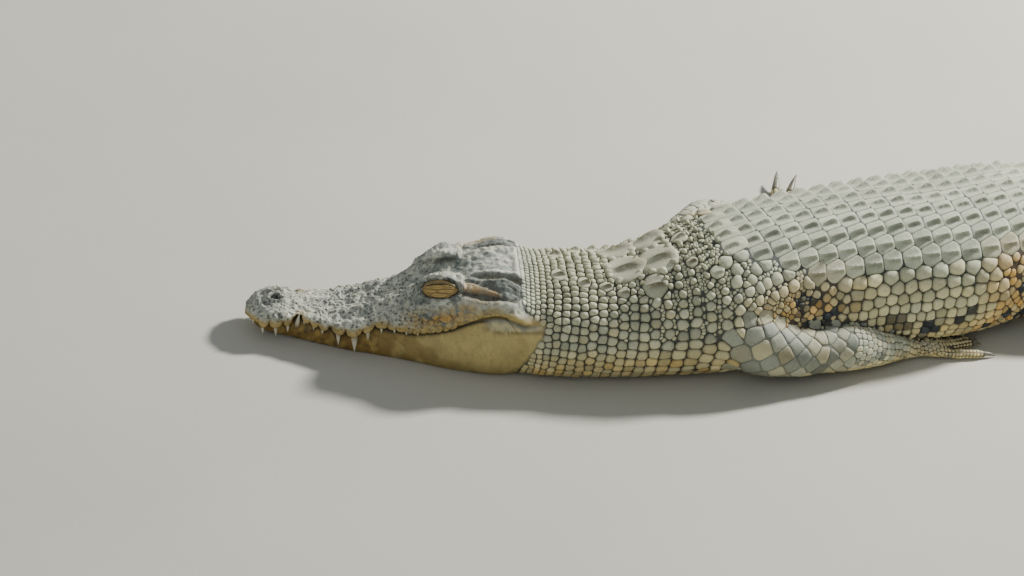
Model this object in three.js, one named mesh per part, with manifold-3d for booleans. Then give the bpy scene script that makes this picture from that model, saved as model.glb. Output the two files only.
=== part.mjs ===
// A life-size saltwater crocodile, a subadult about 1.95 m long, lying on its belly with its jaws and eyes shut.
// Millimetres, +Z up, the floor at z = 0. The snout points to -X, so the animal's left side faces -Y.
// The body is one lofted form along a bent spine, parted by thin cuts; the legs are lofts along their joints.
import * as THREE from "three";
import { mergeVertices } from "three/addons/utils/BufferGeometryUtils.js";
import Module from "manifold-3d";

const wasm = await Module();
wasm.setup();

// ---- Driving dimensions. A station is a distance from the snout tip along the spine.
const SKULL_END = 275;
const NECK_END = 452;
const CHEST_END = 600;
const BELLY_END = 745;
const HIP_END = 915;
const WHORL = 26.5; // length of one ring of scales of the tail, which carries one fin or one pair of fins
const TAIL_ENDS = [9, 19, 29].map((whorls) => HIP_END + whorls * WHORL);
const BODY_END = HIP_END + 39 * WHORL;
const SNOUT_TIP = [-914.1, -255.8]; // x and y of the snout tip on the floor
const GAP = 0.35; // between neighbouring solids
const FLAT = 2.5; // how much of the rounded underside is pressed flat on the floor
const STEP = 5; // spacing at which the spine is integrated
const BODY_SIDES = 22;
const LIMB_SIDES = 10;
const DIGIT_SIDES = 6;
const SPIKE_SIDES = 5;

// ---- Curves
// A monotone cubic through [station, value] pairs, flat beyond its ends.
function profile(pairs) {
  const x = pairs.map((p) => p[0]);
  const y = pairs.map((p) => p[1]);
  const slope = x.slice(1).map((_, i) => (y[i + 1] - y[i]) / (x[i + 1] - x[i]));
  const tangent = x.map((_, i) => {
    const before = slope[Math.max(i - 1, 0)];
    const after = slope[Math.min(i, slope.length - 1)];
    return before * after > 0 ? (2 * before * after) / (before + after) : 0;
  });
  return (s) => {
    if (s <= x[0]) return y[0];
    if (s >= x[x.length - 1]) return y[y.length - 1];
    const i = x.findIndex((v) => v > s) - 1;
    const h = x[i + 1] - x[i];
    const u = (s - x[i]) / h;
    const smooth = u * u * (3 - 2 * u);
    const bend = h * u * (1 - u) * ((1 - u) * tangent[i] - u * tangent[i + 1]);
    return y[i] * (1 - smooth) + y[i + 1] * smooth + bend;
  };
}

const radians = (degrees) => (degrees * Math.PI) / 180;
const mix = (a, b, u) => a + (b - a) * u;
const smoothstep = (a, b, v) => {
  const u = Math.min(Math.max((v - a) / (b - a), 0), 1);
  return u * u * (3 - 2 * u);
};
const spread = (from, to, count) => Array.from({ length: count + 1 }, (_, i) => mix(from, to, i / count));

// ---- The spine lies on the floor plane. Its heading turns from +X towards +Y, in degrees.
const heading = profile([
  [0, 5],
  [270, 9],
  [340, 13],
  [400, 17],
  [470, 30],
  [560, 31.5],
  [700, 29.5],
  [850, 38],
  [960, 31],
  [1150, 10],
  [1350, -8],
  [1600, -18],
  [1950, -4],
]);
const spine = [[...SNOUT_TIP]];
for (let s = 0; s < BODY_END + 2 * STEP; s += STEP) {
  const angle = radians(heading(s + STEP / 2));
  const [x, y] = spine[spine.length - 1];
  spine.push([x + STEP * Math.cos(angle), y + STEP * Math.sin(angle)]);
}

// The point of the floor under the spine at a station, with the unit vectors to the tail and to the animal's left.
function spineAt(s) {
  const along = Math.max(s, 0) / STEP;
  const i = Math.min(Math.floor(along), spine.length - 2);
  const angle = radians(heading(s));
  const x = mix(spine[i][0], spine[i + 1][0], along - i);
  const y = mix(spine[i][1], spine[i + 1][1], along - i);
  return {
    origin: new THREE.Vector3(x, y, 0),
    back: new THREE.Vector3(Math.cos(angle), Math.sin(angle), 0),
    left: new THREE.Vector3(Math.sin(angle), -Math.cos(angle), 0),
  };
}

// A point given by its station, its distance to the animal's left and its height.
function place(s, y, z) {
  const { origin, left } = spineAt(s);
  return origin.clone().addScaledVector(left, y).setZ(z);
}

// ---- The neck, trunk and tail: half width and height of the flesh, without the crests
const bodyWidth = profile([
  [270, 71],
  [310, 75],
  [360, 74],
  [420, 75],
  [480, 85],
  [560, 80],
  [650, 83],
  [730, 91],
  [800, 86],
  [860, 75],
  [920, 62],
  [1060, 48],
  [1250, 33],
  [1450, 22],
  [1700, 12],
  [1950, 2.5],
]);
const bodyHeight = profile([
  [270, 100],
  [310, 103],
  [360, 104],
  [420, 124],
  [480, 142],
  [560, 150],
  [650, 151],
  [730, 148],
  [800, 147],
  [860, 142],
  [920, 122],
  [1060, 96],
  [1250, 74],
  [1450, 56],
  [1700, 35],
  [1950, 9],
]);
const WIDEST_AT = 0.44; // height of the widest line, as a share of the whole height
const topFullness = profile([
  [270, 2.2],
  [600, 2.25],
  [900, 2.1],
  [1100, 1.9],
  [1500, 1.7],
]);
const BELLY_FULLNESS = 2.9;

// The left half of a body ring: t runs from 0 at the top to 1 at the belly.
function bodySection(s, t) {
  const angle = Math.PI * t;
  const height = bodyHeight(s) + FLAT;
  const widest = height * WIDEST_AT;
  const upper = angle < Math.PI / 2;
  const power = 2 / (upper ? topFullness(s) : BELLY_FULLNESS);
  const y = bodyWidth(s) * Math.abs(Math.sin(angle)) ** power;
  const rise = Math.abs(Math.cos(angle)) ** power;
  const z = upper ? widest + (height - widest) * rise : widest - widest * rise;
  return [y, Math.max(z - FLAT, 0)];
}

// ---- The head. Each profile runs from the snout tip to the back of the jaws.
const crownHeight = profile([
  [0, 24],
  [4, 31],
  [14, 38],
  [30, 41.5],
  [46, 38],
  [64, 37],
  [90, 39],
  [118, 48],
  [142, 59],
  [162, 70],
  [185, 79],
  [205, 87],
  [225, 98],
  [245, 103],
  [270, 105],
]);
const browWidth = profile([
  [0, 4],
  [14, 13],
  [30, 15],
  [60, 14],
  [110, 17],
  [150, 17],
  [172, 24],
  [192, 31],
  [215, 33],
  [240, 37],
  [270, 40],
]);
const browHeight = profile([
  [0, 24],
  [14, 36],
  [30, 39],
  [46, 36],
  [64, 36],
  [90, 38],
  [118, 48],
  [142, 59],
  [162, 71],
  [178, 85],
  [194, 94],
  [210, 94],
  [225, 99],
  [245, 105],
  [270, 106],
]);
const cheekWidth = profile([
  [0, 6],
  [6, 17],
  [14, 24],
  [30, 29],
  [42, 28],
  [53, 24],
  [68, 28],
  [90, 35],
  [115, 40],
  [140, 41],
  [165, 46],
  [190, 54],
  [215, 62],
  [245, 70],
  [270, 71],
]);
const cheekHeight = profile([
  [0, 23],
  [30, 30],
  [53, 27],
  [90, 29],
  [118, 33],
  [142, 42],
  [165, 52],
  [190, 62],
  [215, 72],
  [245, 83],
  [270, 84],
]);
const lipWidth = profile([
  [0, 4],
  [6, 15],
  [14, 22],
  [30, 27],
  [42, 26.5],
  [53, 22],
  [68, 26],
  [90, 34],
  [112, 41],
  [132, 40],
  [160, 46],
  [190, 55],
  [215, 63],
  [245, 70],
  [270, 71],
]);
const lipHeight = profile([
  [0, 19],
  [20, 19],
  [40, 21],
  [53, 28],
  [66, 24],
  [90, 22],
  [109, 20],
  [128, 31],
  [148, 32],
  [180, 37],
  [205, 48],
  [230, 64],
  [250, 70],
  [270, 66],
]);
const jawWidth = profile([
  [0, 3],
  [6, 11],
  [14, 16],
  [30, 20],
  [53, 20.5],
  [80, 27],
  [110, 34],
  [140, 38],
  [165, 44],
  [190, 52],
  [215, 61],
  [245, 69],
  [270, 70],
]);
const jawBottom = profile([
  [0, 12],
  [14, 6],
  [40, 2.5],
  [80, 0.6],
  [110, 0],
]);
const soleWidth = profile([
  [0, 1.5],
  [14, 7],
  [40, 12],
  [110, 26],
  [165, 35],
  [215, 46],
  [270, 50],
]);

// Shares of the left half ring of the head, from the crown at 0 to the chin at 1.
const CROWN_SHOULDER = 0.1;
const BROW = 0.22;
const CHEEK = 0.4;
const LIP = 0.5;
const CREASE = 0.53;
const LOWER_LIP = 0.56;
const JAW = 0.72;
const SOLE = 0.88;
const CREASE_DEPTH = 5;
const CHEEK_ABOVE_LIP = 3;
function headSection(s, t) {
  const lip = lipHeight(s);
  const bottom = jawBottom(s);
  const jaw = jawWidth(s);
  const crown = crownHeight(s);
  const brow = browHeight(s);
  const knots = [
    [0, 0, crown],
    [CROWN_SHOULDER, 0.48 * browWidth(s), mix(crown, brow, 0.3)],
    [BROW, browWidth(s), brow],
    [CHEEK, cheekWidth(s), Math.max(cheekHeight(s), lip + CHEEK_ABOVE_LIP)],
    [LIP, lipWidth(s), lip],
    [CREASE, Math.max(jaw - CREASE_DEPTH, 1), lip],
    [LOWER_LIP, jaw - 0.5, lip - 1],
    [JAW, jaw, mix(bottom, lip, 0.45)],
    [SOLE, soleWidth(s), Math.max(mix(bottom, lip, 0.03) - FLAT, bottom)],
    [1, 0, bottom],
  ];
  const y = profile(knots.map((knot) => [knot[0], knot[1]]));
  const z = profile(knots.map((knot) => [knot[0], knot[2]]));
  return [y(t), z(t)];
}

// ---- Any ring of the body: the head's section gives way to the neck's behind the jaws.
const HEAD_BLEND = 22; // to each side of the end of the skull
function section(s, t) {
  const share = smoothstep(SKULL_END - HEAD_BLEND, SKULL_END + HEAD_BLEND, s);
  if (share <= 0) return headSection(s, t);
  const body = bodySection(s, t);
  if (share >= 1) return body;
  const head = headSection(s, t);
  return [mix(head[0], body[0], share), mix(head[1], body[1], share)];
}

// The height of the upper surface at a station, at a distance to either side of the midline.
function backHeight(s, y) {
  let [inside, outside] = [0, 0.45];
  for (let i = 0; i < 12; i++) {
    const t = (inside + outside) / 2;
    if (section(s, t)[0] < Math.abs(y)) inside = t;
    else outside = t;
  }
  return section(s, inside)[1];
}

// ---- Solids
function geometryOf(solid) {
  const mesh = solid.getMesh();
  const positions = new Float32Array(mesh.numVert * 3);
  for (let i = 0; i < mesh.numVert; i++) {
    positions.set(mesh.vertProperties.subarray(i * mesh.numProp, i * mesh.numProp + 3), i * 3);
  }
  const geometry = new THREE.BufferGeometry();
  geometry.setAttribute("position", new THREE.BufferAttribute(positions, 3));
  geometry.setIndex(new THREE.BufferAttribute(mesh.triVerts, 1));
  geometry.computeVertexNormals();
  return geometry;
}

function solidOf(geometry) {
  const bare = new THREE.BufferGeometry();
  bare.setAttribute("position", geometry.getAttribute("position"));
  bare.setIndex(geometry.index);
  const merged = mergeVertices(bare, 1e-3);
  const mesh = new wasm.Mesh({
    numProp: 3,
    vertProperties: merged.attributes.position.array,
    triVerts: new Uint32Array(merged.index.array),
  });
  return new wasm.Manifold(mesh);
}

// A closed solid through rings of equal count, each a list of Vector3 turning the same way, with flat ends.
function loft(rings) {
  const count = rings[0].length;
  const points = rings.flat();
  const faces = [];
  for (let r = 0; r + 1 < rings.length; r++) {
    for (let i = 0; i < count; i++) {
      const a = r * count + i;
      const b = r * count + ((i + 1) % count);
      faces.push([a, a + count, b], [b, a + count, b + count]);
    }
  }
  for (const first of [true, false]) {
    const start = first ? 0 : (rings.length - 1) * count;
    const centre = new THREE.Vector3();
    points.slice(start, start + count).forEach((p) => centre.addScaledVector(p, 1 / count));
    points.push(centre);
    for (let i = 0; i < count; i++) {
      const a = start + i;
      const b = start + ((i + 1) % count);
      faces.push(first ? [points.length - 1, a, b] : [points.length - 1, b, a]);
    }
  }
  const geometry = new THREE.BufferGeometry();
  geometry.setAttribute("position", new THREE.Float32BufferAttribute(points.flatMap((p) => p.toArray()), 3));
  geometry.setIndex(faces.flat());
  const solid = solidOf(geometry);
  if (solid.volume() >= 0) return solid;
  geometry.setIndex(faces.flatMap(([a, b, c]) => [a, c, b]));
  return solidOf(geometry);
}

const hull = (points) => wasm.Manifold.hull(points.map((p) => p.toArray()));

// The largest piece of a solid, for one that a cut has left in several.
function largest(solid) {
  return solid.decompose().sort((a, b) => b.volume() - a.volume())[0];
}

// A whole or partial ring that turns from the crown down the left side, across the belly and up the right side.
// A positive grow pushes it outwards by about that much.
function ring(s, from = 0, to = 1, steps = BODY_SIDES / 2, grow = 0) {
  const middle = bodyHeight(s) / 2;
  const half = spread(from, to, steps).map((t) => {
    const [y, z] = section(s, t);
    const reach = Math.hypot(y, z - middle) || 1;
    return [y + (grow * y) / reach, z + (grow * (z - middle)) / reach];
  });
  const left = half.map(([y, z]) => place(s, y, z));
  const right = half.map(([y, z]) => place(s, -y, z)).reverse();
  return [...left, ...right.slice(to === 1 ? 1 : 0, from === 0 ? -1 : undefined)];
}

const bodyLoft = (stations, grow = 0) => loft(stations.map((s) => ring(s, 0, 1, BODY_SIDES / 2, grow)));

// A cone from a root to a tip. A positive bow raises its middle, as in a claw.
function spike(root, tip, radius, bow = 0) {
  const axis = tip.clone().sub(root);
  const across = new THREE.Vector3(-axis.y, axis.x, 0);
  if (across.length() < 0.2 * axis.length()) across.set(1, 0, 0);
  across.normalize();
  const up = axis.clone().cross(across).normalize();
  const around = (u, share) => spread(0, 2 * Math.PI, SPIKE_SIDES).slice(1).map((angle) => {
    const centre = root.clone().addScaledVector(axis, u);
    centre.addScaledVector(across, radius * share * Math.sin(angle));
    centre.addScaledVector(up, radius * share * Math.cos(angle));
    return centre.setZ(centre.z + bow * 4 * u * (1 - u));
  });
  return hull([...around(0, 1), ...(bow ? around(0.5, 0.7) : []), tip]);
}

// One ring at each joint of a tube, { at: Vector3, wide, high }, flattened where it would sink into the floor.
function limbRings(joints, sides) {
  const path = new THREE.CatmullRomCurve3(joints.map((j) => j.at), false, "centripetal");
  return joints.map(({ at, wide, high }, k) => {
    const ahead = path.getTangent(k / (joints.length - 1));
    const across = new THREE.Vector3(0, 0, 1).cross(ahead).normalize();
    const up = ahead.clone().cross(across);
    return Array.from({ length: sides }, (_, i) => {
      const angle = (2 * Math.PI * i) / sides;
      const p = at.clone().addScaledVector(across, wide * Math.sin(angle));
      p.addScaledVector(up, high * Math.cos(angle));
      return p.setZ(Math.max(p.z, 0));
    });
  });
}

// ---- Materials
const finish = (color, roughness) => new THREE.MeshStandardMaterial({ color, roughness, metalness: 0 });
const hide = () => finish(0x9c9580, 0.75);
const paleHide = () => finish(0xb5a873, 0.7);
const lid = () => finish(0x8a6b35, 0.5);
const horn = () => finish(0x6f6a5c, 0.45);

const model = new THREE.Group();
function addNode(name, solid, material) {
  const mesh = new THREE.Mesh(geometryOf(solid), material);
  mesh.name = name;
  model.add(mesh);
}

// ---- Head and lower jaw
const HEAD_STATIONS = [
  0.6, 5, 12, 22, 32, 42, 53, 64, 78, 92, 108, 122, 138, 154, 168, 182, 196, 210, 224, 240, 257, SKULL_END,
];
const UPPER_STEPS = 8;
const LOWER_STEPS = 5;
const MOUTH_GAP = 0.5;
const SIDES = [["left", 1], ["right", -1]];

// The upper head stands on the surface of the lips; the lower jaw fills the same outline from below.
function upperRing(s) {
  const edge = lipHeight(s) + MOUTH_GAP / 2;
  return ring(s, 0, LIP, UPPER_STEPS).map((p) => p.setZ(Math.max(p.z, edge)));
}
function lowerRing(s) {
  const edge = lipHeight(s) - MOUTH_GAP / 2;
  return ring(s, LOWER_LIP, 1, LOWER_STEPS).map((p) => p.setZ(Math.min(p.z, edge)));
}

// [station, length below the lip, radius] of each upper tooth that shows with the mouth shut, on both sides.
const UPPER_TEETH = [
  [9, 7, 1.8],
  [19, 10, 2.5],
  [32, 11, 2.8],
  [43, 9, 2.3],
  [60, 6, 1.8],
  [70, 6, 1.8],
  [79, 7, 2.1],
  [95, 12, 3.1],
  [111, 17, 4.2],
  [124, 12, 3.2],
  [137, 8, 2.5],
  [150, 6, 2.2],
];
const TOOTH_ROOT = 5; // how deep a tooth is set in its jaw
const TOOTH_ABOVE_JAW = 2;
function upperTooth(s, length, radius, hand) {
  const lip = lipHeight(s);
  const tipHeight = Math.max(lip - length, jawBottom(s) + TOOTH_ABOVE_JAW);
  const root = place(s, hand * (lipWidth(s) - radius * 0.4), lip + TOOTH_ROOT);
  return spike(root, place(s + 1, hand * (lipWidth(s) - 1), tipHeight), radius);
}

// The large fourth lower tooth shows outside the upper jaw, in the notch behind the nostrils.
const NOTCH_TOOTH = { station: 53, root: 8, height: 9, radius: 3, out: 2.2 };
function notchTooth(hand, grow) {
  const { station, root, height, radius, out } = NOTCH_TOOTH;
  const from = place(station, hand * (jawWidth(station) + out / 2), lipHeight(station) - root);
  const to = place(station, hand * (lipWidth(station) + out), lipHeight(station) + height + grow);
  return spike(from, to, radius + grow);
}

// Shut eyes and ear flaps are lens shapes bedded in the head. half: along, outward and up.
const EYE = { station: 191, side: 34, height: 88, half: [21, 8.5, 10.5] };
const EAR = { station: 244, side: 43, height: 94, half: [25, 5, 6.5] };
function lens({ station, side, height, half }, hand, grow) {
  const ball = new THREE.SphereGeometry(1, 12, 6);
  const { back, left } = spineAt(station);
  const outward = left.clone().multiplyScalar(hand);
  ball.scale(...half.map((h) => h + grow));
  ball.applyMatrix4(new THREE.Matrix4().makeBasis(back, outward, new THREE.Vector3().crossVectors(back, outward)));
  ball.translate(...place(station, hand * side, height).toArray());
  return solidOf(ball);
}

function addHead() {
  let upper = loft(HEAD_STATIONS.map(upperRing));
  let lower = loft(HEAD_STATIONS.map(lowerRing));
  for (const [side, hand] of SIDES) {
    for (const [s, length, radius] of UPPER_TEETH) {
      upper = upper.add(upperTooth(s, length, radius, hand));
      lower = lower.subtract(upperTooth(s, length + GAP, radius + GAP, hand));
    }
    upper = upper.subtract(notchTooth(hand, GAP));
    lower = lower.add(notchTooth(hand, 0));
    for (const [name, shape, material] of [["eye", EYE, lid()], ["ear", EAR, hide()]]) {
      upper = upper.subtract(lens(shape, hand, GAP));
      addNode(`${name}_${side}`, lens(shape, hand, 0), material);
    }
  }
  upper = largest(upper);
  addNode("head", upper, hide());
  addNode("lower_jaw", largest(lower.subtract(upper)), paleHide());
}

// ---- Neck, trunk and tail
// [station, distance from the midline, length, width] of the keeled plates of the nape, on both sides.
const NAPE_PLATES = [
  [352, 17, 36, 30],
  [390, 16, 38, 30],
  [385, 48, 30, 24],
];
const PLATE_SINK = 6;
const PLATE_RIM = 1.5;
const PLATE_KEEL = 8;
function napePlate([s, y, length, width], hand) {
  const at = (u, v, rise) => {
    const [station, out] = [s + (u * length) / 2, y + (v * width) / 2];
    return place(station, hand * out, backHeight(station, out) + rise);
  };
  const rim = [[-1, 0], [-0.6, 0.8], [0.6, 0.9], [1, 0], [0.6, -0.9], [-0.6, -0.8]];
  return hull([
    ...rim.map(([u, v]) => at(u, v, -PLATE_SINK)),
    ...rim.map(([u, v]) => at(u * 0.9, v * 0.9, PLATE_RIM)),
    at(-0.35, 0, PLATE_KEEL - 2),
    at(0.4, 0, PLATE_KEEL),
  ]);
}

// The upright fins of the tail stand in two rows that join into one.
const CREST = { joins: 1400, joining: 120, sink: 4 };
const crestHeight = profile([
  [905, 5],
  [1050, 9],
  [1250, 14],
  [1400, 21],
  [1600, 22],
  [1800, 15],
  [1935, 7],
]);
const finThickness = profile([
  [1000, 5],
  [1900, 3],
]);
function fin(s, y) {
  const [half, thick, height] = [WHORL / 2 - GAP, finThickness(s) / 2, crestHeight(s)];
  const at = (ds, dy, dz) => place(s + ds, y + dy, backHeight(s + ds, y) + dz);
  return hull([
    at(-half, -thick, -CREST.sink),
    at(-half, thick, -CREST.sink),
    at(half, -thick, -CREST.sink),
    at(half, thick, -CREST.sink),
    at(-half * 0.1, 0, height * 0.86),
    at(half * 0.8, 0, height),
  ]);
}
function crestBetween(from, to) {
  const whorls = Math.round((to - from) / WHORL);
  return spread(from + WHORL / 2, to - WHORL / 2, whorls - 1).flatMap((s) => {
    const apart = 0.42 * bodyWidth(s) * (1 - smoothstep(CREST.joins - CREST.joining, CREST.joins, s));
    const rows = apart > finThickness(s) / 2 ? [apart, -apart] : [0];
    return rows.map((y) => fin(s, y));
  });
}

// [name, first station, last station, number of spans between rings]
const BODY_LENGTHS = [
  ["neck", SKULL_END, NECK_END, 8],
  ["chest", NECK_END, CHEST_END, 5],
  ["belly", CHEST_END, BELLY_END, 4],
  ["hips", BELLY_END, HIP_END, 6],
  ["tail_base", HIP_END, TAIL_ENDS[0], 6],
  ["tail_middle", TAIL_ENDS[0], TAIL_ENDS[1], 6],
  ["tail_rear", TAIL_ENDS[1], TAIL_ENDS[2], 5],
  ["tail_tip", TAIL_ENDS[2], BODY_END, 5],
];
function addBody() {
  for (const [name, from, to, spans] of BODY_LENGTHS) {
    let solid = bodyLoft(spread(from + GAP, to, spans));
    if (from >= HIP_END) {
      solid = wasm.Manifold.union([solid, ...crestBetween(from, to)]);
    }
    if (name === "neck") {
      const plates = SIDES.flatMap(([, hand]) => NAPE_PLATES.map((plate) => napePlate(plate, hand)));
      solid = wasm.Manifold.union([solid, ...plates]);
    }
    addNode(name, solid, hide());
  }
}

// ---- Legs. Each joint is [station, distance out, height, half width, half height]. A leg is parted at its elbow
// or knee and at its wrist or ankle, given as places in its list of joints.
// A digit runs from its root to its tip, each [station, distance out, height]; claw is the length of its claw.
const LEFT_FORE = {
  elbow: 4,
  wrist: 8,
  joints: [
    [474, 44, 66, 30, 36],
    [490, 74, 50, 27, 34],
    [530, 86, 37, 24, 27],
    [572, 88, 33, 22, 25],
    [592, 88, 32, 22, 26],
    [612, 88, 29, 21, 24],
    [640, 87, 23, 18, 19],
    [664, 84, 17, 13, 14],
    [684, 80, 11, 11, 10],
    [704, 79, 9, 14, 8.5],
    [722, 79, 7.5, 16, 7],
  ],
  digits: [
    { root: [716, 91, 6.5], tip: [758, 102, 4], radius: 5.6, claw: 13 },
    { root: [718, 85, 8], tip: [755, 84, 7], radius: 5.2, claw: 12 },
    { root: [720, 79, 8], tip: [758, 74, 5], radius: 4.8, claw: 10 },
    { root: [718, 74, 8], tip: [757, 64, 7], radius: 4.2, claw: 0 },
    { root: [714, 69, 7], tip: [742, 56, 4], radius: 3.8, claw: 0 },
  ],
};
const RIGHT_FORE = {
  elbow: 3,
  wrist: 6,
  joints: [
    [474, 48, 70, 30, 34],
    [494, 86, 66, 26, 30],
    [526, 122, 58, 22, 25],
    [556, 147, 50, 20, 22],
    [584, 154, 42, 18, 20],
    [616, 163, 31, 15, 16],
    [648, 181, 19, 12, 12],
    [664, 193, 13, 15, 9],
    [679, 205, 9, 16, 7.5],
  ],
  digits: [
    { root: [668, 205, 7], tip: [676, 227, 4], radius: 5.4, claw: 12 },
    { root: [676, 207, 8], tip: [697, 248, 6], radius: 5.2, claw: 15 },
    { root: [683, 206, 8], tip: [712, 239, 6], radius: 4.8, claw: 15 },
    { root: [687, 201, 7], tip: [716, 220, 4], radius: 4.6, claw: 0 },
    { root: [687, 195, 7], tip: [710, 205, 3.5], radius: 3.8, claw: 0 },
  ],
};
const HIND = {
  elbow: 3,
  wrist: 6,
  joints: [
    [846, 34, 60, 36, 44],
    [866, 72, 50, 33, 40],
    [896, 98, 38, 28, 33],
    [930, 112, 31, 23, 27],
    [964, 114, 26, 21, 23],
    [1000, 111, 19, 16, 17],
    [1030, 107, 13, 14, 12],
    [1060, 105, 9.5, 18, 9],
    [1090, 105, 7.5, 21, 7],
  ],
  digits: [
    { root: [1084, 119, 7], tip: [1126, 133, 4.5], radius: 6.4, claw: 15 },
    { root: [1088, 110, 7], tip: [1144, 116, 4.5], radius: 6, claw: 15 },
    { root: [1088, 100, 7], tip: [1148, 97, 4.5], radius: 5.6, claw: 13 },
    { root: [1082, 91, 7], tip: [1134, 77, 3.8], radius: 4.8, claw: 0 },
  ],
};
const LEGS = [
  ["foreleg_left", LEFT_FORE, 1, "hand_left"],
  ["foreleg_right", RIGHT_FORE, -1, "hand_right"],
  ["hindleg_left", HIND, 1, "foot_left"],
  ["hindleg_right", HIND, -1, "foot_right"],
];
const BESIDE_LEGS = ["chest", "belly", "hips", "tail_base"];

const jointsOf = (list, hand) => list.map(([s, y, z, wide, high]) => ({ at: place(s, hand * y, z), wide, high }));

// A length of a leg between two of its rings, whose first end stands off by the gap.
function legLength(rings, from, to) {
  const next = rings[from + 1];
  const first = rings[from].map((p, i) => p.clone().lerp(next[i], GAP / p.distanceTo(next[i])));
  return loft([first, ...rings.slice(from + 1, to + 1)]);
}

// [share of the digit's length, share of its radius]: a digit is narrower at its root and at its tip.
const DIGIT_TAPER = [
  [-0.1, 0.9],
  [0.3, 1],
  [1, 0.64],
];
function digitSolid({ root, tip, radius }, hand) {
  const from = place(root[0], hand * root[1], root[2]);
  const to = place(tip[0], hand * tip[1], tip[2]);
  const joints = DIGIT_TAPER.map(([u, share]) => ({
    at: from.clone().lerp(to, u),
    wide: radius * share,
    high: radius * share,
  }));
  return hull(limbRings(joints, DIGIT_SIDES).flat());
}

const CLAW = { width: 0.55, bow: 1.6, tipHeight: 1.2, standoff: 0.9 };
function clawSolid({ root, tip, radius, claw }, hand) {
  const to = place(tip[0], hand * tip[1], tip[2]);
  const ahead = to.clone().sub(place(root[0], hand * root[1], root[2])).setZ(0).normalize();
  const start = to.clone().addScaledVector(ahead, CLAW.standoff);
  const end = start.clone().addScaledVector(ahead, claw);
  end.z = Math.max(start.z - claw / 3, CLAW.tipHeight);
  return spike(start, end, radius * CLAW.width, CLAW.bow);
}

function addLegs() {
  const lengths = BODY_LENGTHS.filter(([name]) => BESIDE_LEGS.includes(name));
  const body = bodyLoft(lengths.flatMap(([, from, to, spans]) => spread(from + GAP, to, spans)), GAP);
  for (const [name, leg, hand, footName] of LEGS) {
    const rings = limbRings(jointsOf(leg.joints, hand), LIMB_SIDES);
    const upper = largest(legLength(rings, 0, leg.elbow).subtract(body));
    const lower = largest(legLength(rings, leg.elbow, leg.wrist).subtract(body));
    let foot = legLength(rings, leg.wrist, rings.length - 1);
    leg.digits.forEach((digit) => {
      foot = foot.add(digitSolid(digit, hand));
    });
    foot = largest(foot.subtract(body));
    addNode(`${name}_upper`, upper, hide());
    addNode(`${name}_lower`, lower, hide());
    addNode(footName, foot, hide());
    leg.digits
      .filter((digit) => digit.claw)
      .forEach((digit, i) => addNode(`claw_${footName}_${i + 1}`, clawSolid(digit, hand), horn()));
  }
}

addHead();
addBody();
addLegs();

export default model;
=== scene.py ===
"""A life-size saltwater crocodile lying on its belly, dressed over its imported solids.

The form is worked out in millimetres, as in the part's source, and meshes are made in metres. A station is a
distance from the snout tip along the spine; t runs round half a ring from 0 at the crown to 1 at the belly.
"""

import math
from types import SimpleNamespace

import bpy
import numpy as np
from mathutils import Matrix, Vector, noise
from mathutils.bvhtree import BVHTree
from mathutils.kdtree import KDTree


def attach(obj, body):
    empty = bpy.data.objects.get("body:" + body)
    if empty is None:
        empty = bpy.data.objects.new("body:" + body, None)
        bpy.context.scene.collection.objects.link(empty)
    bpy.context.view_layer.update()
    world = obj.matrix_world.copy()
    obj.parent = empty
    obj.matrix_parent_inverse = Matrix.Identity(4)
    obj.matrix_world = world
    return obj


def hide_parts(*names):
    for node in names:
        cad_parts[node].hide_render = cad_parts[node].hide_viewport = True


bl_info = {
    "name": "Resting crocodile",
    "version": (1, 0, 0),
    "blender": (4, 5, 0),
    "location": "3D View > Sidebar > Crocodile",
    "description": "Builds a life-size crocodile with its scales, teeth and claws over its solids",
    "category": "Object",
}

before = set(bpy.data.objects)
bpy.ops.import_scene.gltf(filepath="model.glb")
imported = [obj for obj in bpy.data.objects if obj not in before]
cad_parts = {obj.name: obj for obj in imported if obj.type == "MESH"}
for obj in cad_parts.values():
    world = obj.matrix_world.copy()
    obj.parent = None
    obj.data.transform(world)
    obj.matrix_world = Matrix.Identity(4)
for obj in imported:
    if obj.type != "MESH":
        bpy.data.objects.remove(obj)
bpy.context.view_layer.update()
BODY = "root"
MM = 0.001
RANDOM_SEED = 7


# ---- Curves
def monotone(knots, values, at):
    """Monotone cubics through values[..., k] at the knots, read at places in at and flat beyond the ends."""
    knots = np.asarray(knots, float)
    values = np.asarray(values, float)
    slope = np.diff(values) / np.diff(knots)
    before = np.concatenate([slope[..., :1], slope], -1)
    after = np.concatenate([slope, slope[..., -1:]], -1)
    rising = before * after > 0
    tangent = np.where(rising, 2 * before * after / np.where(rising, before + after, 1), 0)
    at = np.clip(at, knots[0], knots[-1])
    i = np.clip(np.searchsorted(knots, at, side="right") - 1, 0, len(knots) - 2)
    span = knots[i + 1] - knots[i]
    u = (at - knots[i]) / span
    smooth = u * u * (3 - 2 * u)
    bend = span * u * (1 - u) * ((1 - u) * tangent[..., i] - u * tangent[..., i + 1])
    return values[..., i] * (1 - smooth) + values[..., i + 1] * smooth + bend


def profile(*pairs):
    knots, values = np.array(pairs, float).T
    return lambda s: monotone(knots, values, np.asarray(s, float))


def clamp(value):
    return np.clip(value, 0, 1)


def ramp(low, high, value):
    """Rises smoothly from 0 at the low value to 1 at the high one."""
    u = clamp((np.asarray(value, float) - low) / (high - low))
    return u * u * (3 - 2 * u)


def fade(low, high, value):
    return 1 - ramp(low, high, value)


def window(value, low, high, top, end):
    """Rises from low to high and falls from top to end."""
    return ramp(low, high, value) * fade(top, end, value)


def mix(a, b, share):
    return a + (b - a) * share


def hump(value, centre, width):
    """A smooth hump of height 1 about a centre."""
    return np.exp(-(((value - centre) / width) ** 2))


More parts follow.
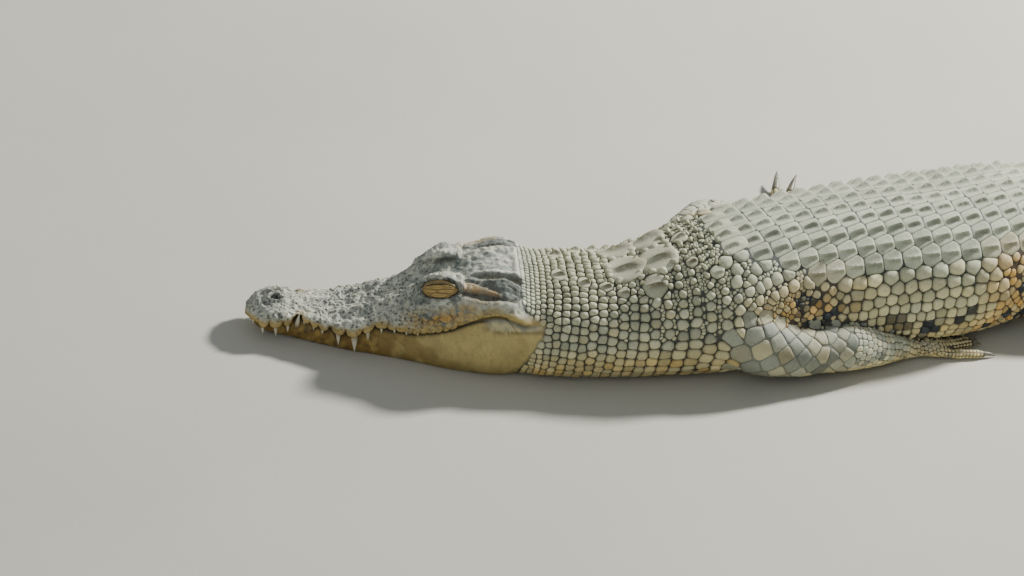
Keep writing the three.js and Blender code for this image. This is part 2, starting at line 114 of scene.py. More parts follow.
def unit(vectors):
    return vectors / np.maximum(np.linalg.norm(vectors, axis=-1, keepdims=True), 1e-12)


# ---- The spine on the floor, as in the part's source
SKULL_END = 275
HIP_END = 915
WHORL = 26.5
WHORLS = 39
BODY_END = HIP_END + WHORLS * WHORL
SNOUT_TIP = (-914.1, -255.8)
STEP = 5
FLAT = 2.5
heading = profile(
    (0, 5), (270, 9), (340, 13), (400, 17), (470, 30), (560, 31.5), (700, 29.5),
    (850, 38), (960, 31), (1150, 10), (1350, -8), (1600, -18), (1950, -4),
)
spine_stations = np.arange(0, BODY_END + 3 * STEP, STEP)
step_angles = np.radians(heading(spine_stations[:-1] + STEP / 2))
spine_x = SNOUT_TIP[0] + np.concatenate([[0], np.cumsum(STEP * np.cos(step_angles))])
spine_y = SNOUT_TIP[1] + np.concatenate([[0], np.cumsum(STEP * np.sin(step_angles))])


def place(s, y, z):
    """Points given by their station, their distance to the animal's left and their height."""
    s, y, z = np.broadcast_arrays(np.asarray(s, float), y, z)
    angle = np.radians(heading(s))
    x = np.interp(s, spine_stations, spine_x) + y * np.sin(angle)
    return np.stack([x, np.interp(s, spine_stations, spine_y) - y * np.cos(angle), z], -1)


def backward(s):
    """Unit vectors towards the tail."""
    angle = np.radians(heading(s))
    return np.stack([np.cos(angle), np.sin(angle), 0 * angle], -1)


def locate(points):
    """The station, the distance to the animal's left and the height of points in millimetres."""
    s = np.interp(points[:, 0], spine_x, spine_stations)
    for _ in range(14):
        away = points - place(s, 0, 0)
        s = np.clip(s + 0.8 * (away * backward(s)).sum(-1), 0, BODY_END)
    angle = np.radians(heading(s))
    away = points - place(s, 0, 0)
    return s, away[:, 0] * np.sin(angle) - away[:, 1] * np.cos(angle), points[:, 2]


# ---- Neck, trunk and tail
body_width = profile(
    (270, 71), (310, 75), (360, 74), (420, 75), (480, 85), (560, 80), (650, 83), (730, 91),
    (800, 86), (860, 75), (920, 62), (1060, 48), (1250, 33), (1450, 22), (1700, 12), (1950, 2.5),
)
body_height = profile(
    (270, 100), (310, 103), (360, 104), (420, 124), (480, 142), (560, 150), (650, 151), (730, 148),
    (800, 147), (860, 142), (920, 122), (1060, 96), (1250, 74), (1450, 56), (1700, 35), (1950, 9),
)
top_fullness = profile((270, 2.2), (600, 2.25), (900, 2.1), (1100, 1.9), (1500, 1.7))
WIDEST_AT = 0.44
BELLY_FULLNESS = 2.9


def body_section(s, t):
    """Half rings of the body: y and z, one row for each station."""
    s = np.asarray(s, float)[:, None]
    angle = math.pi * t[None, :]
    height = body_height(s) + FLAT
    widest = height * WIDEST_AT
    upper = angle < math.pi / 2
    power = 2 / np.where(upper, top_fullness(s), BELLY_FULLNESS)
    y = body_width(s) * np.abs(np.sin(angle)) ** power
    rise = np.abs(np.cos(angle)) ** power
    z = np.where(upper, widest + (height - widest) * rise, widest - widest * rise)
    return y, np.maximum(z - FLAT, 0)


# ---- Head: the profiles of the solids, with the lip's own line and the raised edges of the skull's roof
crown_height = profile(
    (0, 21.5), (1.5, 26), (4, 30.5), (8, 34.5), (14, 38), (30, 41.5), (46, 38), (64, 37), (90, 39),
    (118, 48), (142, 59),
    (162, 70), (185, 79), (205, 87), (225, 99), (245, 104), (270, 106),
)
brow_width = profile(
    (0, 4), (14, 13), (30, 15), (60, 14), (110, 17), (150, 17), (172, 24), (192, 30), (215, 31),
    (240, 34), (270, 37),
)
brow_height = profile(
    (0, 21.5), (4, 29), (8, 33), (14, 36), (30, 39), (46, 36), (64, 36), (90, 38), (118, 48), (142, 59),
    (162, 71), (178, 85), (194, 94), (210, 95), (225, 101), (245, 106.5), (270, 108),
)
cheek_width = profile(
    (0, 6), (6, 17), (14, 24), (30, 29), (42, 28), (53, 24), (68, 28), (90, 35), (115, 40),
    (140, 41), (165, 46), (190, 54), (215, 62), (245, 70), (270, 71),
)
cheek_height = profile(
    (0, 23), (30, 31), (53, 33), (90, 33), (118, 37), (142, 45), (165, 52), (190, 62), (215, 72),
    (245, 84), (270, 86),
)
lip_width = profile(
    (0, 4), (6, 15), (14, 22), (30, 27), (42, 26.5), (53, 22), (68, 26), (90, 34), (112, 41),
    (132, 40), (160, 46), (190, 55), (215, 63), (245, 70), (270, 71),
)
lip_height = profile(
    (0, 19), (20, 19), (36, 21.5), (46, 24), (54, 31), (63, 27.5), (76, 25), (96, 25), (110, 26.5),
    (123, 32), (134, 38), (150, 37.5), (165, 38), (184, 44), (199, 51), (212, 59.5), (225, 69.5),
    (236, 76.5), (250, 80), (262, 78), (275, 73),
)
jaw_width = profile(
    (0, 3), (6, 11), (14, 16), (30, 20), (53, 20.5), (80, 27), (110, 34), (140, 38), (165, 44),
    (190, 52), (215, 61), (245, 69), (270, 70),
)
jaw_bottom = profile((0, 17.5), (5, 16), (9, 12.5), (14, 8), (24, 4.5), (40, 2.5), (80, 0.6), (110, 0))
sole_width = profile((0, 1.5), (14, 7), (40, 12), (110, 26), (165, 35), (215, 46), (270, 50))
# Places round the half ring of the head.
CROWN_SHOULDER = 0.1
BROW = 0.22
CHEEK = 0.4
LIP = 0.5
CREASE = 0.53
LOWER_LIP = 0.56
JAW = 0.72
SOLE = 0.88
HEAD_KNOTS = (0, CROWN_SHOULDER, BROW, CHEEK, LIP, CREASE, LOWER_LIP, JAW, SOLE, 1)
HEAD_BLEND = 22
crease_depth = profile((0, 5), (200, 5), (235, 3.5), (270, 2))

# Upper teeth that show with the mouth shut: station, length below the lip and radius.
UPPER_TEETH = (
    (9, 7, 1.8), (19, 11, 2.4), (32, 12, 2.6), (44, 9, 2.1), (60, 6, 1.7), (70, 6, 1.7), (79, 7, 1.9),
    (95, 14, 2.9), (111, 19, 3.9), (124, 10, 2.6), (137, 7, 2.1), (150, 4, 1.6), (162, 3.5, 1.5),
    (173, 3, 1.4),
)
NOTCH_STATION = 53
# Lobes of the lip over the roots of the upper teeth: station and half width.
LIP_LOBES = (
    (19.5, 5.6), (32.5, 7), (44.5, 4.8), (61.5, 4.6), (70.5, 4.4), (80, 5.2), (95, 6.8), (110.5, 8.2),
    (124.5, 5.6), (137, 6.2), (147.6, 4.4), (156, 4.2), (164, 4.0), (171.6, 3.8), (179, 3.7), (186.2, 3.6),
    (193.2, 3.5), (200, 3.4), (206.6, 3.3),
)


def lip_lobes(s):
    """The lobes of the upper lip over the roots of its teeth: how full they are, and 1 in their gaps."""
    full = 0 * s
    for station, half_width in LIP_LOBES:
        full = np.maximum(full, clamp(1 - np.abs((s - station) / half_width) ** 2.6))
    reach = window(s, 13, 16, 205, 222)
    return full * reach, fade(0.0, 0.42, full) * reach


def lip_scallop(s):
    """How far the lip hangs down over the roots of the teeth."""
    return lip_lobes(s)[0] * (2.6 - 1.6 * ramp(112, 150, s)) - 0.9 * ramp(20, 24, s)


LIP_OVERHANG = 3.4


def head_section(s, t):
    """Half rings of the head: y and z, one row for each station."""
    s = np.asarray(s, float)
    hang = lip_scallop(s)
    lip = lip_height(s)
    bottom = jaw_bottom(s)
    jaw = jaw_width(s)
    crown = crown_height(s)
    brow = brow_height(s)
    bulge = 0.75 * hang * ramp(0, 20, s)
    y = [
        0 * s,
        0.48 * brow_width(s),
        brow_width(s),
        cheek_width(s) + 0.3 * bulge,
        lip_width(s) + bulge,
        np.maximum(jaw - crease_depth(s), 1),
        jaw - LIP_OVERHANG * window(s, 30, 60, 215, 245),
        jaw,
        sole_width(s),
        0 * s,
    ]
    z = [
        crown,
        mix(crown, brow, 0.3),
        brow,
        np.maximum(cheek_height(s), lip + 5),
        lip - hang + 1,
        lip + 0.5,
        lip - 1.5,
        mix(bottom, lip, 0.45),
        np.maximum(mix(bottom, lip, 0.03) - FLAT, bottom),
        bottom,
    ]
    return monotone(HEAD_KNOTS, np.stack(y, -1), t), monotone(HEAD_KNOTS, np.stack(z, -1), t)


def section(s, t):
    """Half rings of the whole body, without the folds of the skin."""
    share = ramp(SKULL_END - HEAD_BLEND, SKULL_END + HEAD_BLEND, s)[:, None]
    head_y, head_z = head_section(s, t)
    body_y, body_z = body_section(s, t)
    return mix(head_y, body_y, share), mix(head_z, body_z, share)


# ---- The folds of the head's skin
EYE_STATION = 190
EYE_LENGTH = 19.5  # half of it
EYE_HEIGHT = 10.4
EYE_FRONT = (28, 80.5)  # distance out and height of the front corner of the lids
EYE_REAR = (41, 91)
EYE_UP = np.array([-0.7, 0.714])
EYE_OUT = np.array([0.714, 0.7])
MOUND_TOP = 5.0
EYE_BOW = 4.2  # how far the middle of the lids stands out of the chord between their corners
ROOF_EDGE = 0.135  # place round the half ring of the raised edge of the skull's roof
NOSTRIL = (30, 6.5)  # station and distance out
temple_line = profile((206, 0.285), (212, 0.288), (239, 0.318), (262, 0.318), (272, 0.27))
corner_line = profile((222, 68), (237, 65), (251, 62), (271, 63.5), (298, 66))


def eye_place(s, y, z):
    """Places about an eye: u along it, w up across it, both 1 at the rim of the lids."""
    u = (s - EYE_STATION) / EYE_LENGTH
    share = (u + 1) / 2
    out = mix(EYE_FRONT[0], EYE_REAR[0], share)
    up = mix(EYE_FRONT[1], EYE_REAR[1], share)
    return u, ((np.abs(y) - out) * EYE_UP[0] + (z - up) * EYE_UP[1]) / EYE_HEIGHT


def eye_wedge(s, t):
    """The wedge of smooth skin behind the rear corner of the eye: 1 on it, and 1 along its borders."""
    share = clamp((s - 213) / 38)
    half = mix(0.024, 0.003, share)
    off = np.abs(t - mix(0.257, 0.302, share)) - half
    along = window(s, 211, 214, 246, 254)
    return along * fade(-0.006, 0.006, off), along * hump(off, 0.007, 0.007)


RING_SAMPLES = 161
RING_BATCH = 4000  # points worked on at once, to keep the memory small


def ring_place(s, y, z):
    """The place round the half ring nearest to each point."""
    table = np.linspace(0, 1, RING_SAMPLES)
    found = np.empty(len(s))
    for start in range(0, len(s), RING_BATCH):
        part = slice(start, start + RING_BATCH)
        across, up = section(s[part], table)
        square = (across - np.abs(y[part, None])) ** 2 + (up - z[part, None]) ** 2
        found[part] = table[np.argmin(square, axis=1)]
    return found


def mound_foot(s, out):
    """1 along the crease where a mound over an eye meets the trough between the eyes."""
    return hump(out, 13.5 + 0.1 * np.abs(s - 192), 1.5) * window(s, 172, 178, 206, 212)


def raise_lid_mounds(s, y, z):
    """The bony mounds over the eyes rise to a rounded top on each side of a trough."""
    reach = clamp(1 - ((s - 190) / 24) ** 2) ** 0.5
    top = brow_height(s) + MOUND_TOP * reach - 10 * np.abs((y - 24) / 11.5) ** 3.5
    rise = np.clip(top - z, 0, None)
    return z + rise * ramp(0, 0.35, reach) * (y > 8) * (y < 36)


def fold_depth(s, t, y, z):
    """How far the skin of the head stands out of its plain form, for the left half ring."""
    on_head = fade(262, 290, s)
    out = 0 * y
    # Ridges run from the eyes to the nostrils, with a trough between them.
    snout = window(s, 60, 100, 160, 178)
    out += snout * (1.5 * hump(t, BROW, 0.035) - 1.4 * hump(t, 0.02, 0.07) - 1.1 * hump(t, 0.29, 0.03))
    # The lips swell into lobes over the roots of the teeth, with grooves between them.
    full, gap = lip_lobes(s)
    big = 1 - 0.6 * ramp(128, 150, s)
    out += big * (1.5 * full * hump(t, 0.468, 0.034) - 2.2 * gap * hump(t, 0.478, 0.032))
    # The roof of the skull is a flat shield with a raised edge, and the temple lies deep under it.
    roof = window(s, 212, 226, 269, 275)
    out += roof * (1.3 * hump(t, ROOF_EDGE, 0.022) - 0.9 * hump(t, 0.05, 0.07))
    out += 1.7 * hump(s, 268, 3.6) * fade(ROOF_EDGE, ROOF_EDGE + 0.05, t)
    out -= 2.6 * hump(s, 276.5, 4.5) * fade(0.2, 0.3, t)
    temple = window(s, 216, 234, 269, 276)
    under = temple_line(s)
    recess = window(t, ROOF_EDGE + 0.012, ROOF_EDGE + 0.035, under - 0.004, under + 0.012)
    out -= temple * recess * (3.8 + 2.4 * hump(t, ROOF_EDGE + 0.045, 0.022))
    # The ear flap in it has folds along it, and a groove under it runs back from the eye.
    out += temple * (1.7 * hump(t, 0.235, 0.022) + 0.5 * np.sin(t * 330) * recess)
    behind_eye = window(s, 204, 211, 268, 277)
    out -= behind_eye * 2.4 * hump(t, under, 0.008)
    out += behind_eye * (1.5 * hump(t, under + 0.026, 0.014) - 0.8 * hump(t, under + 0.06, 0.012))
    # A smooth wedge of skin lies at the rear corner of the eye.
    wedge, border = eye_wedge(s, t)
    out += 1.1 * wedge - 1.3 * border
    # Folds ring the shut eye.
    u, w = eye_place(s, y, z)
    rim = np.sqrt(u**2 + w**2)
    near_eye = (t > 0.05) * (t < 0.42)
    lower = fade(-0.25, 0.35, w)
    eye = mix(3.8, 3.0, lower) * fade(1.0, 1.75, rim) - 7.0 * fade(0.84, 1.03, rim)
    eye -= 1.2 * hump(rim, 1.06, 0.05)
    eye += 1.0 * hump(rim, 1.2, 0.07) * lower - 0.9 * hump(rim, 1.36, 0.05) * lower
    eye += 0.6 * hump(rim, 1.52, 0.08) * lower + 0.9 * hump(rim, 1.2, 0.07) * (1 - lower)
    out += near_eye * eye
    out -= 1.2 * mound_foot(s, y) * (t < 0.2)
    # A band of short creases crosses the rear corner of the lids.
    band = hump(s, 210.5, 3.2) * window(t, 0.12, 0.16, 0.28, 0.3)
    out += band * (1.2 + 0.6 * np.sin(s * 2.6) + 0.35 * np.sin(t * 260))
    for station in (206.5, 214.5):
        out -= 1.2 * hump(s, station + 30 * (t - 0.2), 0.9) * window(t, 0.1, 0.14, 0.27, 0.29)
    # The nostrils are crescents on a low disc.
    disc = ((s - 29) / 12) ** 2 + (y / 13) ** 2
    out += 1.6 * np.exp(-(disc**2)) * (t < 0.3)
    slit = ((s - NOSTRIL[0] - 0.35 * (y - NOSTRIL[1])) / 5.2) ** 2 + ((y - NOSTRIL[1]) / 2.7) ** 2
    out -= 5.5 * np.exp(-(slit**2)) * (t < 0.3)
    out += 1.7 * hump(np.sqrt(slit), 1.75, 0.45) * (t < 0.3)
    # A soft fold shaped like a lens lies behind the corner of the mouth.
    corner = window(s, 226, 240, 286, 304) * (t > 0.3)
    low = corner_line(s)
    wrinkles = 0.35 * np.sin((z - low) * 2.1) * window(z - low, 0, 3, 9, 12)
    out += corner * (-1.5 * hump(z, low, 2.0) + 1.3 * hump(z, low + 6, 4) + wrinkles)
    # Shallow folds cross the cheek under the eye and follow the lower jaw.
    cheek = window(s, 150, 175, 235, 255)
    out -= cheek * (0.9 * hump(t, 0.395, 0.012) + 0.5 * hump(t, 0.43, 0.01))
    jaw = window(s, 60, 110, 190, 240)
    out -= jaw * (0.7 * hump(t, 0.66, 0.012) + 0.4 * hump(t, 0.6, 0.008))
    return out * on_head


def rugged(s, t):
    """Where the skin is pitted bone with no scales: 1 on the snout, less on the skull and cheeks."""
    top = fade(0.42, 0.48, t)
    snout = fade(165, 190, s)
    skull = 0.75 * fade(262, 275, s)
    wedge, _ = eye_wedge(s, t)
    return top * np.maximum(snout, skull) * (1 - 0.9 * wedge)


PIT_SPACING = 6.4


def bony_relief(points, snout):
    """Lumps, ridges and pits of skin that lies on bone."""
    raised = 2.0 * lumps(points, 13) + 2.0 * lumps(points, 6) + 1.4 * lumps(points, 3)
    pits = ramp(0.3, 0.8, cells(points, PIT_SPACING)) - 0.35
    streaks = lumps(points * np.array([0.4, 1, 1]), 4.5)
    return raised - (0.4 + 1.3 * snout) * pits + 1.0 * (1 - snout) * streaks


def lumps(points, size):
    """Rounded lumps from noise at points in millimetres, from about -1 to 1."""
    return np.array([noise.noise(Vector(p) / size) for p in points])


def cells(points, size):
    """0 on the borders of irregular cells and up to 1 at their middles."""
    found = np.empty(len(points))
    for i, p in enumerate(points):
        distances = noise.voronoi(Vector(p) / size)[0]
        found[i] = distances[1] - distances[0]
    return clamp(found)


# ---- Legs: the joints of the solids, each (station, distance out, height, half width, half height)
LEFT_FORE = {
    "elbow": 4,
    "wrist": 8,
    "joints": (
        (474, 44, 66, 30, 36), (490, 74, 50, 27, 34), (530, 86, 37, 24, 27), (572, 88, 33, 22, 25),
        (592, 88, 32, 22, 26), (612, 88, 29, 21, 24), (640, 87, 23, 18, 19), (664, 84, 17, 13, 14),
        (684, 80, 11, 11, 10), (704, 79, 9, 14, 8.5), (722, 79, 7.5, 16, 7),
    ),
    "digits": (
        ((716, 91, 6.5), (758, 102, 4), 5.6, 13),
        ((718, 85, 8), (755, 84, 7), 5.2, 12),
        ((720, 79, 8), (758, 74, 5), 4.8, 10),
        ((718, 74, 8), (757, 64, 7), 4.2, 0),
        ((714, 69, 7), (742, 56, 4), 3.8, 0),
    ),
}
RIGHT_FORE = {
    "elbow": 3,
    "wrist": 6,
    "joints": (
        (474, 48, 70, 30, 34), (494, 86, 66, 26, 30), (526, 122, 58, 22, 25), (556, 147, 50, 20, 22),
        (584, 154, 42, 18, 20), (616, 163, 31, 15, 16), (648, 181, 19, 12, 12), (664, 193, 13, 15, 9),
        (679, 205, 9, 16, 7.5),
    ),
    "digits": (
        ((668, 205, 7), (676, 227, 4), 5.4, 12),
        ((676, 207, 8), (697, 248, 6), 5.2, 15),
        ((683, 206, 8), (712, 239, 6), 4.8, 15),
        ((687, 201, 7), (716, 220, 4), 4.6, 0),
        ((687, 195, 7), (710, 205, 3.5), 3.8, 0),
    ),
}
HIND = {
    "elbow": 3,
    "wrist": 6,
    "joints": (
        (846, 34, 60, 36, 44), (866, 72, 50, 33, 40), (896, 98, 38, 28, 33), (930, 112, 31, 23, 27),
        (964, 114, 26, 21, 23), (1000, 111, 19, 16, 17), (1030, 107, 13, 14, 12), (1060, 105, 9.5, 18, 9),
        (1090, 105, 7.5, 21, 7),
    ),
    "digits": (
        ((1084, 119, 7), (1126, 133, 4.5), 6.4, 15),
        ((1088, 110, 7), (1144, 116, 4.5), 6, 15),
        ((1088, 100, 7), (1148, 97, 4.5), 5.6, 13),
        ((1082, 91, 7), (1134, 77, 3.8), 4.8, 0),
    ),
}
# Name, form, side (1 is the animal's left) and the name of its hand or foot.
LEGS = (
    ("foreleg_left", LEFT_FORE, 1, "hand_left"),
    ("foreleg_right", RIGHT_FORE, -1, "hand_right"),
    ("hindleg_left", HIND, 1, "foot_left"),
    ("hindleg_right", HIND, -1, "foot_right"),
)
# The webs between the hind toes: where along a toe they start, how far they reach and how thick they are.
WEB_START = 0.23
WEB_REACH = 0.5
WEB_THICKNESS = 2.0


class Limb:
    """A smooth tube through joints: position, half width and half height at a distance along it."""

    def __init__(self, centres, wide, high):
        self.centres = np.asarray(centres, float)
        self.wide = np.asarray(wide, float)
        self.high = np.asarray(high, float)
        spans = np.linalg.norm(np.diff(self.centres, axis=0), axis=1)
        self.at = np.concatenate([[0], np.cumsum(spans)])
        self.length = self.at[-1]

    def centre(self, along):
        """A Hermite curve whose tangent at a joint joins the joints beside it."""
        along = np.asarray(along, float)
        i = np.clip(np.searchsorted(self.at, along, side="right") - 1, 0, len(self.at) - 2)
        tangents = np.gradient(self.centres, self.at, axis=0)
        span = self.at[i + 1] - self.at[i]
        u = ((along - self.at[i]) / span)[..., None]
        span = span[..., None]
        first = (1 + 2 * u) * (1 - u) ** 2 * self.centres[i] + span * u * (1 - u) ** 2 * tangents[i]
        second = u**2 * (3 - 2 * u) * self.centres[i + 1] - span * u**2 * (1 - u) * tangents[i + 1]
        return first + second

    def frame_at(self, along):
        """The unit vectors ahead, across and up at distances along the limb."""
        ahead = unit(self.centre(along + 0.5) - self.centre(along - 0.5))
        across = unit(np.cross([0.0, 0.0, 1.0], ahead))
        return ahead, across, np.cross(ahead, across)

    def sizes_at(self, along):
        """Half width and half height at distances along the limb."""
        return monotone(self.at, self.wide, along), monotone(self.at, self.high, along)

    def surface(self, along, angle, inset=0.0):
        """Points of the surface, with the angle from the top in radians. The sole is pressed flat."""
        along = np.asarray(along, float)
        _, across, up = self.frame_at(along)
        wide, high = (size - inset for size in self.sizes_at(along))
        points = self.centre(along) + across * (wide * np.sin(angle))[..., None]
        points = points + up * (high * np.cos(angle))[..., None]
        points[..., 2] = np.maximum(points[..., 2], inset)
        return points


def leg_limb(leg, hand):
    joints = np.array(leg["joints"], float)
    return Limb(place(joints[:, 0], hand * joints[:, 1], joints[:, 2]), joints[:, 3], joints[:, 4])


DIGIT_BUILD = ((-0.3, 0.7), (0, 0.92), (0.22, 0.9), (0.42, 1.02), (0.6, 0.84), (0.8, 0.86), (1.0, 0.6))


def digit_limb(digit, hand):
    """A toe with two swollen joints, narrower towards its claw."""
    root, tip, radius, _ = digit
    start = place(root[0], hand * root[1], root[2])
    end = place(tip[0], hand * tip[1], tip[2])
    shares = np.array([share for share, _ in DIGIT_BUILD])
    radii = radius * np.array([build for _, build in DIGIT_BUILD])
    centres = start + (end - start) * shares[:, None]
    return Limb(centres, radii, radii * 0.95)


# ---- Meshes
# What one operator leaves for the next: the skin's tree of triangles, the scales' roots and the materials.
workshop = {}


def deselect_all():
    bpy.ops.object.select_all(action="DESELECT")


def make_active(obj):
    deselect_all()
    obj.select_set(True)
    bpy.context.view_layer.objects.active = obj


def new_object(name, points, faces):
    """An object from points in millimetres and faces, a list of arrays that each hold faces of one size."""
    mesh = bpy.data.meshes.new(name)
    sizes = np.concatenate([np.full(len(block), block.shape[1]) for block in faces])
    corners = np.concatenate([block.ravel() for block in faces])
    mesh.vertices.add(len(points))
    mesh.vertices.foreach_set("co", (points * MM).astype(np.float32).ravel())
    mesh.loops.add(len(corners))
    mesh.loops.foreach_set("vertex_index", corners.astype(np.int32))
    mesh.polygons.add(len(sizes))
    mesh.polygons.foreach_set("loop_start", np.concatenate([[0], np.cumsum(sizes)[:-1]]).astype(np.int32))
    mesh.update(calc_edges=True)
    mesh.validate()
    obj = bpy.data.objects.new(name, mesh)
    bpy.context.scene.collection.objects.link(obj)
    return obj


def values_of(items, key, kind=np.float32, width=1):
    """A value of each vertex, edge, face or corner of a mesh, in rows where its width is more than one."""
    found = np.empty(len(items) * width, kind)
    items.foreach_get(key, found)
    return found.reshape(-1, width) if width > 1 else found


def points_of(obj):
    return values_of(obj.data.vertices, "co", width=3).astype(float) / MM


def set_points(obj, points):
    obj.data.vertices.foreach_set("co", (points * MM).astype(np.float32).ravel())
    obj.data.update()


def edges_of(obj):
    return values_of(obj.data.edges, "vertices", np.int32, 2)


def tree_of(points):
    tree = KDTree(len(points))
    for i, p in enumerate(points):
        tree.insert(p, i)
    tree.balance()
    return tree


def turn_outward(obj):
    make_active(obj)
    bpy.ops.object.mode_set(mode="EDIT")
    bpy.ops.mesh.select_all(action="SELECT")
    bpy.ops.mesh.normals_make_consistent(inside=False)
    bpy.ops.object.mode_set(mode="OBJECT")


def shade_smooth(obj):
    make_active(obj)
    bpy.ops.object.shade_smooth()


def walls(count, sides):
    """Faces between rings of points, then the numbers round a ring and the number after each."""
    at = np.arange(count - 1)[:, None] * sides
    i = np.arange(sides)
    after = (i + 1) % sides
    return np.stack([at + i, at + after, at + sides + after, at + sides + i], -1).reshape(-1, 4), i, after


def slab_faces(rows, columns):
    """Faces of two grids of points, one over the other, closed round their rims."""
    grid = np.arange(rows * columns).reshape(rows, columns)
    sheet = np.stack([grid[:-1, :-1], grid[:-1, 1:], grid[1:, 1:], grid[1:, :-1]], -1).reshape(-1, 4)
    rim = np.concatenate([grid[0], grid[1:, -1], grid[-1, -2::-1], grid[-2:0:-1, 0]])
    after = np.roll(rim, -1)
    side = np.stack([rim, after, after + grid.size, rim + grid.size], -1)
    return np.concatenate([sheet, sheet[:, ::-1] + grid.size, side])


def tube_object(name, rings):
    """A closed tube through rings of points (ring, point, xyz)."""
    count, sides = rings.shape[:2]
    points = np.concatenate([rings.reshape(-1, 3), rings[0].mean(0)[None], rings[-1].mean(0)[None]])
    faces, i, after = walls(count, sides)
    middle = np.full(sides, count * sides)
    last_ring = (count - 1) * sides
    first = np.stack([middle, after, i], -1)
    last = np.stack([middle + 1, last_ring + i, last_ring + after], -1)
    obj = new_object(name, points, [faces, first, last])
    turn_outward(obj)
    return obj


def apply_modifiers(obj):
    make_active(obj)
    for modifier in list(obj.modifiers):
        bpy.ops.object.modifier_apply(modifier=modifier.name)


def unite(target, other):
    """Joins a closed object to another and removes it."""
    before = len(target.data.vertices)
    modifier = target.modifiers.new("unite", "BOOLEAN")
    modifier.operation = "UNION"
    modifier.solver = "MANIFOLD"
    modifier.object = other
    apply_modifiers(target)
    if len(target.data.vertices) == before:
        raise RuntimeError(f"{other.name} could not be joined to {target.name}")
    bpy.data.objects.remove(other)


def relax(obj, weights, rounds):
    """Moves each vertex towards the mean of its neighbours, by its weight."""
    points = points_of(obj)
    ends = edges_of(obj)
    start = np.concatenate([ends[:, 0], ends[:, 1]])
    stop = np.concatenate([ends[:, 1], ends[:, 0]])
    count = np.maximum(np.bincount(start, minlength=len(points)), 1)[:, None]
    share = RELAX_STRENGTH * weights[:, None]
    for _ in range(rounds):
        total = np.stack([np.bincount(start, points[stop, k], len(points)) for k in range(3)], -1)
        points += share * (total / count - points)
    set_points(obj, points)


# ---- Skin
RING_PLACES = np.concatenate([
    np.linspace(0, 0.12, 13)[:-1],
    np.linspace(0.12, 0.36, 34)[:-1],
    np.linspace(0.36, 0.6, 32)[:-1],
    np.linspace(0.6, 1, 24),
])
SNOUT_STATIONS = (0.6, 1.1, 1.8, 2.6, 3.5, 4.5, 5.6, 6.8)
HEAD_STEP = 1.25
HEAD_MESH_END = 292
BODY_SPACING = 12
LIMB_SPACING = 4.5
LIMB_SIDES = 36
DIGIT_SPACING = 2.4
DIGIT_SIDES = 16
LEGS_FROM = 440  # the station past which joins are softened
SHARP_ANGLE = math.radians(28)
JOIN_REACH = 13
JOIN_ROUNDS = 16
RELAX_STRENGTH = 0.6


def skin_stations():
    head = np.arange(SNOUT_STATIONS[-1] + HEAD_STEP, HEAD_MESH_END, HEAD_STEP)
    body = np.arange(head[-1] + BODY_SPACING / 2, BODY_END - 6, BODY_SPACING)
    return np.concatenate([SNOUT_STATIONS, head, body, [BODY_END - 3, BODY_END]])


def body_tube(sizes):
    """The head, trunk and tail as one closed tube, with the folds and pits of the head."""
    s = skin_stations()
    t = RING_PLACES
    y, z = section(s, t)
    column = s[:, None]
    on_head = column < HEAD_MESH_END
    z = np.where(on_head, raise_lid_mounds(column, y, z), z)
    across, up = np.gradient(y, t, axis=1), np.gradient(z, t, axis=1)
    length = np.maximum(np.hypot(across, up), 1e-9)
    out_y, out_z = -up / length, across / length
    fold = fold_depth(column, t[None, :], y, z)
    coat = np.minimum(sizes.coat_depth / MM, 0.25 * body_width(column)) * ramp(262, 300, column)
    pits = rugged(column, t[None, :]) * np.ones_like(y)
    halves = []
    for hand in (1, -1):
        points = place(column, hand * y, z)
        on = pits > 0.01
        rough = np.zeros_like(y)
        snout = (1 - ramp(150, 185, column) + 0 * y)[on]
        rough[on] = pits[on] * bony_relief(points[on], snout) * sizes.pitting
        shift = fold + rough - coat
        halves.append(place(column, hand * (y + out_y * shift), np.maximum(z + out_z * shift, 0.2)))
    rings = np.concatenate([halves[0], halves[1][:, -2:0:-1]], axis=1)
    return tube_object("skin", rings)


def limb_tube(name, limb, sides, spacing, inset):
    """A closed tube along a limb, with a rounded tip."""
    along = np.linspace(0, limb.length, max(int(limb.length / spacing), 3) + 1)
    angle = np.linspace(0, 2 * math.pi, sides, endpoint=False)
    rings = limb.surface(along[:, None] + 0 * angle, angle[None, :] + 0 * along[:, None], inset)
    ahead = limb.frame_at(limb.length)[0]
    middle = rings[-1].mean(0)
    reach = limb.high[-1] - inset
    tip = []
    for share in (0.35, 0.65, 0.87, 0.98):
        shrunk = middle + (rings[-1] - middle) * math.sqrt(1 - share**2)
        tip.append(shrunk + ahead * reach * share)
    rings = np.concatenate([rings, np.array(tip)])
    rings[..., 2] = np.maximum(rings[..., 2], 0.25)
    return tube_object(name, rings)


def web_object(name, first, second):
    """A thin web between two toes."""
    across = np.linspace(0, 1, 9)
    ahead = np.linspace(-0.1, 1, 9)
    rows = []
    for share in ahead:
        edge = WEB_REACH * (1 - 0.4 * np.sin(math.pi * across))
        a, b = (toe.centre(toe.length * WEB_START + share * edge * toe.length * (1 - WEB_START))
                for toe in (first, second))
        rows.append(mix(a, b, across[:, None]))
    grid = np.array(rows)
    thick = np.array([0, 0, WEB_THICKNESS / 2])
    points = np.concatenate([(grid + thick).reshape(-1, 3), (grid - thick).reshape(-1, 3)])
    obj = new_object(name, points, [slab_faces(*grid.shape[:2])])
    turn_outward(obj)
    return obj


